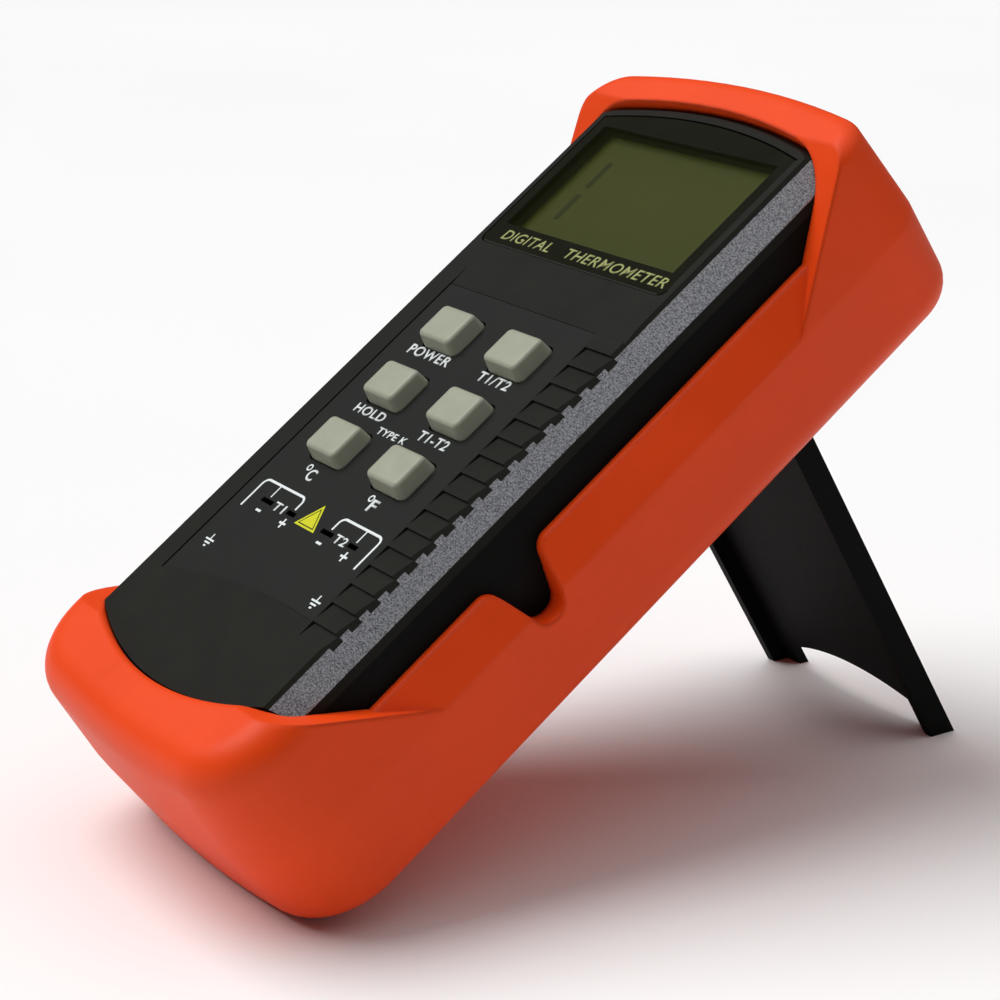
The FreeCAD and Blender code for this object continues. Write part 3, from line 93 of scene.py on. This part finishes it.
class Finish:
    """A material of one Principled shader, with short calls for the nodes that feed it."""

    def __init__(self, name, **sockets):
        self.material = bpy.data.materials.new(name)
        self.material.use_nodes = True
        self.tree = self.material.node_tree
        self.shader = self.tree.nodes["Principled BSDF"]
        self.places = self.add("ShaderNodeTexCoord").outputs["Object"]
        for socket, value in sockets.items():
            self.feed(socket.replace("_", " "), value)

    def join(self, socket, value):
        if isinstance(value, bpy.types.NodeSocket):
            self.tree.links.new(value, socket)
        else:
            socket.default_value = value

    def feed(self, socket, value):
        names = {name.lower(): name for name in self.shader.inputs.keys()}
        self.join(self.shader.inputs[names[socket.lower()]], value)

    def add(self, kind, sockets=None, **settings):
        node = self.tree.nodes.new(kind)
        for key, value in settings.items():
            setattr(node, key, value)
        for socket, value in (sockets or {}).items():
            self.join(node.inputs[socket], value)
        return node

    def on_face(self):
        """The place in millimetres on the face."""
        mapping = self.add("ShaderNodeMapping", {
            "Vector": self.places,
            "Location": FACE_ORIGIN,
            "Rotation": FACE_TURN,
            "Scale": (MM, MM, MM),
        }, vector_type="TEXTURE")
        return mapping.outputs["Vector"]

    def noise(self, grain, detail=3.0, roughness=0.55, places=None, stretch=None):
        """Noise whose features are about one grain across, in millimetres."""
        vector = places or self.places
        if stretch:
            vector = self.add("ShaderNodeMapping", {"Vector": vector, "Scale": stretch}).outputs["Vector"]
        scale = 1 / grain if places else 1 / (grain * MM)
        return self.add("ShaderNodeTexNoise", {
            "Vector": vector, "Scale": scale, "Detail": detail, "Roughness": roughness,
        }).outputs["Fac"]

    def levels(self, value, low, high, out_low=0.0, out_high=1.0):
        return self.add("ShaderNodeMapRange", {
            "Value": value, "From Min": low, "From Max": high, "To Min": out_low, "To Max": out_high,
        }).outputs["Result"]

    def reckon(self, operation, first, second=0.0):
        """One step of arithmetic."""
        return self.add("ShaderNodeMath", {0: first, 1: second}, operation=operation).outputs["Value"]

    def mix(self, share, first, second):
        node = self.add("ShaderNodeMix", {0: share, 6: first, 7: second}, data_type="RGBA")
        return node.outputs[2]

    def soft_edges(self, radius):
        """A surface whose edges look rounded to that radius, in millimetres."""
        return self.add("ShaderNodeBevel", {"Radius": radius * MM}).outputs["Normal"]

    def bump(self, height, depth, under=None):
        """Relief of that depth, in millimetres."""
        sockets = {"Height": height, "Distance": depth * MM, "Strength": 1.0}
        if under:
            sockets["Normal"] = under
        return self.add("ShaderNodeBump", sockets).outputs["Normal"]


def linear(red, green, blue):
    """A colour as the shader takes it, from the usual 0 to 255 numbers."""
    def one(value):
        share = value / 255
        return share / 12.92 if share <= 0.04045 else ((share + 0.055) / 1.055) ** 2.4
    return one(red), one(green), one(blue), 1.0


def tinted(colour, factor):
    return tuple(channel * factor for channel in colour[:3]) + (1.0,)


def moulded(name, colour, roughness=0.5, grain=0.35, relief=0.01, mottle=0.12, **sockets):
    """Moulded plastic or rubber: a fine grain, a soft mottle and uneven gloss."""
    finish = Finish(name, **sockets)
    cloud = finish.noise(9.0, 4.0)
    share = finish.levels(cloud, 0.3, 0.7)
    finish.feed("Base Color", finish.mix(share, tinted(colour, 1 - mottle), tinted(colour, 1 + mottle)))
    fine = finish.noise(grain, 2.0)
    finish.feed("Roughness", finish.levels(fine, 0.3, 0.7, roughness - 0.05, roughness + 0.05))
    finish.feed("Normal", finish.bump(fine, relief))
    return finish.material


def drawn_metal(name, colour, roughness=0.3, stretch=(1, 1, 12)):
    """Drawn or rolled metal with fine lines and dull patches."""
    finish = Finish(name, Metallic=1.0)
    lines = finish.noise(0.5, 3.0, stretch=stretch)
    patches = finish.noise(3.0, 3.0)
    share = finish.levels(patches, 0.35, 0.7)
    finish.feed("Base Color", finish.mix(share, colour, tinted(colour, 0.7)))
    finish.feed("Roughness", finish.levels(lines, 0.3, 0.7, roughness - 0.08, roughness + 0.12))
    finish.feed("Normal", finish.bump(lines, 0.004))
    return finish.material


def boot_rubber():
    """Satin orange rubber with a fine spark-eroded grain, faint dust and slightly paler flow marks."""
    orange = linear(236, 70, 12)
    finish = Finish("boot_rubber", Specular_IOR_Level=0.2)
    cloud = finish.levels(finish.noise(26.0, 4.0), 0.35, 0.7)
    base = finish.mix(cloud, tinted(orange, 0.94), tinted(orange, 1.05))
    dust = finish.levels(finish.noise(0.7, 2.0, 0.7), 0.70, 0.78, 0.0, 0.15)
    finish.feed("Base Color", finish.mix(dust, base, linear(236, 112, 62)))
    fine = finish.noise(0.16, 3.0)
    finish.feed("Roughness", finish.levels(cloud, 0.0, 1.0, 0.43, 0.52))
    coarse = finish.bump(finish.noise(1.1, 3.0), 0.010, finish.soft_edges(1.2))
    finish.feed("Normal", finish.bump(fine, 0.006, coarse))
    return finish.material


def case_plastic():
    """Near-black case, painted paler on the face as light and darker on the sides as shade, with a blasted
    silver finish on the two side bevels.
    """
    finish = Finish("case_plastic", Specular_IOR_Level=0.08)
    face = finish.on_face()
    axes = finish.add("ShaderNodeSeparateXYZ", {0: face}).outputs
    far = finish.reckon("ABSOLUTE", axes["X"])
    height = finish.reckon("SUBTRACT", finish.reckon("ADD", far, axes["Z"]), BEVEL_SUM)
    on_plane = finish.reckon("LESS_THAN", finish.reckon("ABSOLUTE", height), BEVEL_SLACK)
    pitches = finish.reckon("DIVIDE", finish.reckon("SUBTRACT", axes["Y"], RIB_FIRST), RIB_PITCH)
    tooth = finish.reckon("GREATER_THAN", finish.reckon("FRACT", pitches), TOOTH_START)
    ribbed = finish.reckon("MULTIPLY", finish.reckon("LESS_THAN", axes["Y"], RIB_FIRST),
                        finish.reckon("GREATER_THAN", axes["Y"], RIB_LAST))
    step = finish.reckon("MULTIPLY", finish.reckon("MULTIPLY", tooth, ribbed), TOOTH)
    outside = finish.reckon("GREATER_THAN", finish.reckon("SUBTRACT", far, step), SILVER_INNER)
    bevel = finish.reckon("MULTIPLY", on_plane, outside)
    painted_lit_face = finish.reckon("GREATER_THAN", axes["Z"], PAINTED_SHADE_LEVEL)

    speckle = finish.noise(0.28, 3.0, 0.75, places=face)
    silver = finish.mix(finish.levels(speckle, 0.36, 0.64), linear(78, 79, 84), linear(176, 177, 182))
    cloud = finish.levels(finish.noise(8.0, 4.0, places=face), 0.3, 0.7)
    # Lit and shaded copies of one grey: the paler top colour is painted light and the darker side colour is
    # painted shade.
    top = finish.mix(cloud, linear(26, 26, 22), linear(31, 31, 27))
    side = finish.mix(cloud, linear(8, 8, 7), linear(13, 13, 12))
    dark = finish.mix(painted_lit_face, side, top)
    finish.feed("Base Color", finish.mix(bevel, dark, silver))
    fine = finish.noise(0.22, 3.0, places=face)
    finish.feed("Roughness", finish.levels(bevel, 0.0, 1.0, 0.58, 0.42))
    finish.feed("Metallic", finish.reckon("MULTIPLY", bevel, 0.55))
    both = finish.mix(bevel, fine, speckle)
    finish.feed("Normal", finish.bump(both, 0.02))
    return finish.material


def label_sheet():
    """Printed sheet: near-black, finely textured, a little mottled."""
    finish = Finish("label_sheet", Specular_IOR_Level=0.1)
    face = finish.on_face()
    cloud = finish.levels(finish.noise(10.0, 4.0, places=face), 0.3, 0.7)
    finish.feed("Base Color", finish.mix(cloud, linear(24, 26, 24), linear(30, 32, 29)))
    fine = finish.noise(0.16, 3.0, places=face)
    finish.feed("Roughness", finish.levels(cloud, 0.0, 1.0, 0.5, 0.58))
    finish.feed("Normal", finish.bump(fine, 0.012))
    return finish.material


def window_plastic():
    """Clear window, tinted olive, with a dark border printed round the opening."""
    finish = Finish("window_plastic", IOR=1.49, Specular_IOR_Level=0.4)
    face = finish.on_face()
    axes = finish.add("ShaderNodeSeparateXYZ", {0: face}).outputs
    far = finish.reckon("ABSOLUTE", axes["X"])
    middle = (WINDOW_LOW + WINDOW_HIGH) / 2
    half = (WINDOW_HIGH - WINDOW_LOW) / 2
    along = finish.reckon("ABSOLUTE", finish.reckon("SUBTRACT", axes["Y"], middle))
    border = finish.reckon("MAXIMUM", finish.reckon("GREATER_THAN", far, WINDOW_HALF),
                        finish.reckon("GREATER_THAN", along, half))
    smudge = finish.levels(finish.noise(7.0, 4.0, places=face), 0.4, 0.75)
    finish.feed("Base Color", finish.mix(border, linear(38, 42, 14), linear(20, 21, 9)))
    finish.feed("Alpha", finish.levels(border, 0.0, 1.0, 0.22, 1.0))
    finish.feed("Roughness", finish.levels(smudge, 0.0, 1.0, 0.10, 0.17))
    finish.feed("Normal", finish.bump(finish.noise(4.0, 2.0, places=face), 0.004))
    return finish.material


def display_cell():
    """Reflective liquid-crystal cell, olive grey with the rear reflector's fine grain."""
    finish = Finish("display_cell", Specular_IOR_Level=0.25)
    face = finish.on_face()
    grain = finish.levels(finish.noise(0.2, 2.0, places=face), 0.3, 0.7)
    cloud = finish.levels(finish.noise(14.0, 3.0, places=face), 0.3, 0.7)
    base = finish.mix(grain, linear(86, 92, 30), linear(94, 100, 35))
    finish.feed("Base Color", finish.mix(finish.levels(cloud, 0.0, 1.0, 0.0, 0.25), base, linear(78, 85, 28)))
    finish.feed("Roughness", finish.levels(grain, 0.0, 1.0, 0.38, 0.46))
    return finish.material


def key_rubber():
    """Matt grey-green rubber, a little darker where fingers have rubbed it."""
    finish = Finish("key_rubber", Specular_IOR_Level=0.35)
    cloud = finish.levels(finish.noise(3.5, 4.0), 0.3, 0.75)
    finish.feed("Base Color", finish.mix(cloud, linear(158, 160, 142), linear(150, 152, 134)))
    fine = finish.noise(0.14, 3.0)
    finish.feed("Roughness", finish.levels(fine, 0.3, 0.7, 0.42, 0.52))
    finish.feed("Normal", finish.bump(fine, 0.006))
    return finish.material


def ink(name, colour, wear=0.25):
    """Screen-printed ink, thin in places."""
    finish = Finish(name, Specular_IOR_Level=0.2, Roughness=0.6)
    thin = finish.levels(finish.noise(0.3, 3.0, 0.7), 0.5, 0.8, 0.0, wear)
    finish.feed("Base Color", finish.mix(thin, colour, tinted(colour, 0.35)))
    return finish.material


def circuit_laminate():
    """Solder mask over copper tracks, which show as slightly paler lines."""
    finish = Finish("circuit_laminate", Specular_IOR_Level=0.5)
    face = finish.on_face()
    tracks = finish.add("ShaderNodeTexBrick", {
        "Vector": face, "Color1": (0, 0, 0, 1), "Color2": (0, 0, 0, 1), "Mortar": (1, 1, 1, 1),
        "Scale": 1.0, "Mortar Size": 0.18, "Mortar Smooth": 0.2, "Brick Width": 6.0, "Row Height": 1.9,
    }).outputs["Fac"]
    finish.feed("Base Color", finish.mix(tracks, linear(20, 84, 46), linear(52, 120, 66)))
    finish.feed("Roughness", finish.levels(tracks, 0.0, 1.0, 0.36, 0.28))
    finish.feed("Normal", finish.bump(tracks, 0.03))
    return finish.material


def layered_strip():
    """Conductive and insulating layers of a rubber connector strip."""
    finish = Finish("layered_strip", Specular_IOR_Level=0.3, Roughness=0.7)
    face = finish.on_face()
    layers = finish.add("ShaderNodeTexWave", {"Vector": face, "Scale": 1.4, "Distortion": 0.0},
                        bands_direction="X").outputs["Fac"]
    finish.feed("Base Color", finish.mix(layers, linear(34, 34, 36), linear(196, 176, 190)))
    finish.feed("Normal", finish.bump(layers, 0.01))
    return finish.material


FINISHES = {
    "boot_rubber": boot_rubber(),
    "stand_plastic": moulded("stand_plastic", linear(11, 11, 10), 0.6, 0.3, 0.012, Specular_IOR_Level=0.05),
    "case_plastic": case_plastic(),
    "label_print": label_sheet(),
    "window_plastic": window_plastic(),
    "display_glass": display_cell(),
    "frame_plastic": moulded("frame_plastic", linear(24, 24, 22), 0.55),
    "strip_rubber": layered_strip(),
    "sheet_rubber": moulded("sheet_rubber", linear(158, 160, 142), 0.6),
    "key_rubber": key_rubber(),
    "pill_rubber": moulded("pill_rubber", linear(30, 30, 30), 0.7),
    "board_laminate": circuit_laminate(),
    "socket_plastic": moulded("socket_plastic", linear(30, 30, 29), 0.5),
    "contact_metal": drawn_metal("contact_metal", linear(214, 196, 150), 0.28),
    "chip_plastic": moulded("chip_plastic", linear(32, 32, 33), 0.55, 0.2, 0.02),
    "crystal_steel": drawn_metal("crystal_steel", linear(200, 200, 200), 0.25),
    "can_aluminium": drawn_metal("can_aluminium", linear(205, 205, 210), 0.3),
    "trimmer_plastic": moulded("trimmer_plastic", linear(44, 88, 160), 0.45),
    "rotor_brass": drawn_metal("rotor_brass", linear(214, 186, 120), 0.3),
    "screw_steel": drawn_metal("screw_steel", linear(176, 176, 180), 0.34),
    "battery_wrap": moulded("battery_wrap", linear(52, 56, 66), 0.3, 1.2, 0.01, Coat_Weight=0.4),
    "snap_plastic": moulded("snap_plastic", linear(28, 28, 28), 0.5),
    "red_lead": moulded("red_lead", linear(180, 34, 26), 0.4),
    "black_lead": moulded("black_lead", linear(26, 26, 26), 0.4),
    "foam_rubber": moulded("foam_rubber", linear(60, 60, 62), 0.9, 0.6, 0.2),
}
WHITE_INK = ink("white_ink", linear(226, 232, 232))
YELLOW_INK = ink("yellow_ink", linear(205, 205, 24), 0.1)
WINDOW_INK = ink("window_ink", linear(158, 162, 104), 0.15)
SEGMENT_INK = ink("segment_ink", linear(64, 69, 26), 0.1)


def dress_nodes():
    """Gives every CAD node the finish of its own material slot in the record."""
    slots = {part["node"]: part["material_slot"] for part in frame["record"]["subparts"]}
    for name, node in nodes.items():
        for place in node.material_slots:
            place.material = FINISHES[slots[name]]


# ---------------------------------------------------------------- printed marks


def add_piece(name, mesh, material, body):
    """A finished mesh in face millimetres becomes a piece that rides on a body."""
    mesh.name = name
    mesh.transform(FACE)
    mesh.materials.clear()
    mesh.materials.append(material)
    piece = bpy.data.objects.new(name, mesh)
    bpy.context.scene.collection.objects.link(piece)
    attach(piece, body)
    return piece


def raised(shape, level):
    """A flat bmesh at z 0 becomes a closed film of ink on that level."""
    top = bmesh.ops.extrude_face_region(shape, geom=shape.faces[:])
    corners = [item for item in top["geom"] if isinstance(item, bmesh.types.BMVert)]
    bmesh.ops.translate(shape, verts=corners, vec=(0, 0, INK))
    bmesh.ops.translate(shape, verts=shape.verts, vec=(0, 0, level))
    bmesh.ops.recalc_face_normals(shape, faces=shape.faces)
    mesh = bpy.data.meshes.new("marks")
    shape.to_mesh(mesh)
    shape.free()
    return mesh


def print_marks(name, outlines, level, material):
    """Closed outlines, each a list of (x, y), printed as one piece."""
    shape = bmesh.new()
    for outline in outlines:
        shape.faces.new([shape.verts.new((x, y, 0)) for x, y in outline])
    return add_piece(name, raised(shape, level), material, "meter")


def print_words(name, words, box, level, material, weight=0.02, lean=0.0):
    """One line of lettering, fitted to a box of (left, low, right, high)."""
    curve = bpy.data.curves.new(name, "FONT")
    curve.body = words
    curve.offset = weight
    curve.shear = lean
    curve.space_character = 1.08
    maker = bpy.data.objects.new(name, curve)
    bpy.context.scene.collection.objects.link(maker)
    bpy.context.view_layer.update()
    flat = bpy.data.meshes.new_from_object(maker.evaluated_get(bpy.context.evaluated_depsgraph_get()))
    bpy.data.objects.remove(maker)
    bpy.data.curves.remove(curve)
    shape = bmesh.new()
    shape.from_mesh(flat)
    bpy.data.meshes.remove(flat)
    left, low, right, high = box
    xs = [vert.co.x for vert in shape.verts]
    ys = [vert.co.y for vert in shape.verts]
    start_x, start_y, width, height = min(xs), min(ys), max(xs) - min(xs), max(ys) - min(ys)
    for vert in shape.verts:
        across = (vert.co.x - start_x) / width
        up = (vert.co.y - start_y) / height
        vert.co = (left + across * (right - left), low + up * (high - low), 0)
    bmesh.ops.remove_doubles(shape, verts=shape.verts, dist=1e-5)
    return add_piece(name, raised(shape, level), material, "meter")


def bar(start, end, width):
    """The outline of a straight stroke."""
    line = (Vector(end) - Vector(start)).normalized() * (width / 2)
    side = Vector((-line.y, line.x))
    return [tuple(Vector(end) + side), tuple(Vector(start) + side),
            tuple(Vector(start) - side), tuple(Vector(end) - side)][::-1]


def stroke(points, width, radius, steps=6):
    """The outline of a line through the points, its square corners rounded to the radius."""
    path = [Vector(points[0])]
    for before, corner, after in zip(points, points[1:], points[2:]):
        corner = Vector(corner)
        first = (Vector(before) - corner).normalized()
        last = (Vector(after) - corner).normalized()
        for step in range(steps + 1):
            turn = step / steps * math.pi / 2
            path.append(corner + radius * ((1 - math.sin(turn)) * first + (1 - math.cos(turn)) * last))
    path.append(Vector(points[-1]))
    sides = []
    for index, point in enumerate(path):
        before = path[max(index - 1, 0)]
        after = path[min(index + 1, len(path) - 1)]
        along = (after - before).normalized()
        sides.append((point, Vector((-along.y, along.x)) * width / 2))
    left = [tuple(point + side) for point, side in sides]
    right = [tuple(point - side) for point, side in sides]
    return left[::-1] + right


def ring_marks(centre, radius, width, count=20):
    """Outlines of the quads that make a ring."""
    def spot(angle, reach):
        return centre[0] + reach * math.cos(angle), centre[1] + reach * math.sin(angle)
    quads = []
    for index in range(count):
        first = 2 * math.pi * index / count
        last = 2 * math.pi * (index + 1) / count
        quads.append([spot(first, radius - width / 2), spot(first, radius + width / 2),
                      spot(last, radius + width / 2), spot(last, radius - width / 2)])
    return quads


KEY_WORDS = {
    "POWER": (-16.6, 34.4, -4.3, 36.5),
    "HOLD": (-15.3, 20.8, -6.3, 22.7),
    "TYPE K": (-5.3, 18.8, 3.3, 20.2),
    "T1-T2": (4.4, 20.7, 12.9, 22.7),
    "T1/T2": (4.4, 34.4, 13.3, 36.4),
    "C": (-10.9, 6.2, -8.8, 8.6),
    "F": (8.7, 6.2, 10.6, 8.6),
    "T1": (-11.3, -0.9, -7.9, 0.8),
    "T2": (8.3, -0.9, 11.9, 0.8),
}
WINDOW_WORDS = {
    "DIGITAL": (-21.3, 61.1, -7.2, 63.3),
    "THERMOMETER": (-2.9, 61.1, 24.6, 63.3),
}
SIGN_LEVEL = -2.1
MINUS_REACH = 0.75
BRACKET_TOP = 3.45
BRACKET_FOOT = 0.85
SEGMENT_X = -17.3
SEGMENT_LOWS = (69.6, 77.7)
SEGMENT_LENGTH = 6.3
SEGMENT_WIDTH = 1.3


def print_face():
    for words, box in KEY_WORDS.items():
        name = "mark_" + words.lower().replace("/", "_or_").replace("-", "_less_").replace(" ", "_")
        print_words(name, words, box, LABEL_TOP, WHITE_INK)
    print_marks("mark_degree_c", ring_marks((-11.8, 8.5), 0.55, 0.3), LABEL_TOP, WHITE_INK)
    print_marks("mark_degree_f", ring_marks((7.85, 8.45), 0.55, 0.3), LABEL_TOP, WHITE_INK)
    for words, box in WINDOW_WORDS.items():
        print_words("mark_" + words.lower(), words, box, WINDOW_TOP, WINDOW_INK, 0.01, 0.15)


def plus_sign(x, y, arm=0.95, half=0.2):
    """The outline of a cross: one corner of it, turned to all four quarters."""
    corner = [(-arm, -half), (-half, -half), (-half, -arm)]
    outline = []
    for _ in range(4):
        outline += corner
        corner = [(-down, across) for across, down in corner]
    return [(x + across, y + up) for across, up in outline]


def print_inputs():
    """Brackets, signs and earth marks round the two inputs, and a plain triangle between them."""
    thick, thin, corner = 0.45, 0.3, 1.2
    brackets = [
        [(-18.8, -2.7), (-18.8, BRACKET_TOP), (-5.7, BRACKET_TOP), (-5.7, BRACKET_FOOT)],
        [(6.1, BRACKET_FOOT), (6.1, BRACKET_TOP), (18.3, BRACKET_TOP), (18.3, -3.1)],
    ]
    for number, points in enumerate(brackets, start=1):
        print_marks(f"mark_bracket_{number}", [stroke(points, thick, corner)], LABEL_TOP, WHITE_INK)
    for number, across in enumerate((-13.8, 13.7), start=1):
        stub = bar((across, BRACKET_FOOT), (across, BRACKET_TOP - thick / 2), thin)
        print_marks(f"mark_stub_{number}", [stub], LABEL_TOP, WHITE_INK)
    for number, (minus, plus) in enumerate(((-13.7, -5.6), (6.1, 13.9)), start=1):
        dash = bar((minus - MINUS_REACH, SIGN_LEVEL), (minus + MINUS_REACH, SIGN_LEVEL), thick)
        print_marks(f"mark_minus_{number}", [dash], LABEL_TOP, WHITE_INK)
        print_marks(f"mark_plus_{number}", [plus_sign(plus, SIGN_LEVEL)], LABEL_TOP, WHITE_INK)
    for number, across in enumerate((-17.8, 17.2), start=1):
        earth = [bar((across, -10.25), (across, -9.2), 0.3)]
        for drop, half_width in ((10.4, 1.3), (11.05, 0.8), (11.7, 0.3)):
            earth.append(bar((across - half_width, -drop), (across + half_width, -drop), 0.33))
        print_marks(f"mark_earth_{number}", earth, LABEL_TOP, WHITE_INK)
    print_triangle()


def print_triangle():
    corners = [Vector((-3.25, -1.1)), Vector((2.95, -1.1)), Vector((-0.15, 3.9))]
    centre = sum(corners, Vector((0, 0))) / 3

    def inset(share):
        return [tuple(centre + (corner - centre) * share) for corner in corners]

    outer, gap, inner = inset(1.0), inset(0.78), inset(0.66)
    rim = [[outer[i], outer[(i + 1) % 3], gap[(i + 1) % 3], gap[i]] for i in range(3)]
    print_marks("mark_triangle_rim", rim, LABEL_TOP, YELLOW_INK)
    print_marks("mark_triangle", [inner], LABEL_TOP, YELLOW_INK)


def print_segments():
    """The two bars of the display's first digit, which show faintly when it is off."""
    for number, low in enumerate(SEGMENT_LOWS, start=1):
        outline = bar((SEGMENT_X, low), (SEGMENT_X, low + SEGMENT_LENGTH), SEGMENT_WIDTH)
        print_marks(f"display_segment_{number}", [outline], GLASS_TOP, SEGMENT_INK)


# ---------------------------------------------------------------- stage


# The camera stands off from midway between the inputs, in metres, and its lens is in millimetres.
CAMERA_OFFSET = Vector((0.3314, -0.17994, 0.12287))
CAMERA_AIM = Vector((-0.7992, 0.5197, -0.3019))
CAMERA_LENS = 91.26


def set_camera():
    data = bpy.data.cameras.new("camera")
    data.lens = CAMERA_LENS
    data.clip_start = 0.01
    camera = bpy.data.objects.new("camera", data)
    bpy.context.scene.collection.objects.link(camera)
    camera.location = FACE_ORIGIN + CAMERA_OFFSET
    camera.rotation_euler = CAMERA_AIM.to_track_quat("-Z", "Y").to_euler()
    bpy.context.scene.camera = camera


def add_sun(name, source, power, spread):
    """A soft, even light from the direction of its source, spread over that many degrees."""
    data = bpy.data.lights.new(name, "SUN")
    data.energy = power
    data.angle = math.radians(spread)
    light = bpy.data.objects.new(name, data)
    bpy.context.scene.collection.objects.link(light)
    light.rotation_euler = (-Vector(source)).to_track_quat("-Z", "Y").to_euler()


def set_lights():
    add_sun("key", (-0.45, -0.45, 1.0), 2.75, 45)
    add_sun("top", (0.1, 0.3, 1.0), 0.85, 80)
    world = bpy.data.worlds.new("studio")
    bpy.context.scene.world = world
    world.use_nodes = True
    background = world.node_tree.nodes["Background"].inputs
    background["Color"].default_value = (1, 1, 1, 1)
    background["Strength"].default_value = 0.08
    bpy.context.scene.view_settings.view_transform = "Standard"


def lay_floor():
    half = 3.0
    corners = [(-half, -half, 0), (half, -half, 0), (half, half, 0), (-half, half, 0)]
    mesh = bpy.data.meshes.new("floor")
    mesh.from_pydata(corners, [], [(0, 1, 2, 3)])
    floor = bpy.data.objects.new("floor", mesh)
    bpy.context.scene.collection.objects.link(floor)
    finish = Finish("floor", Roughness=0.8, Specular_IOR_Level=0.1)
    cloud = finish.levels(finish.noise(300.0, 2.0), 0.3, 0.7)
    finish.feed("Base Color", finish.mix(cloud, (0.90, 0.90, 0.90, 1), (0.92, 0.92, 0.92, 1)))
    mesh.materials.append(finish.material)


dress_nodes()
print_face()
print_inputs()
print_segments()
set_camera()
set_lights()
lay_floor()
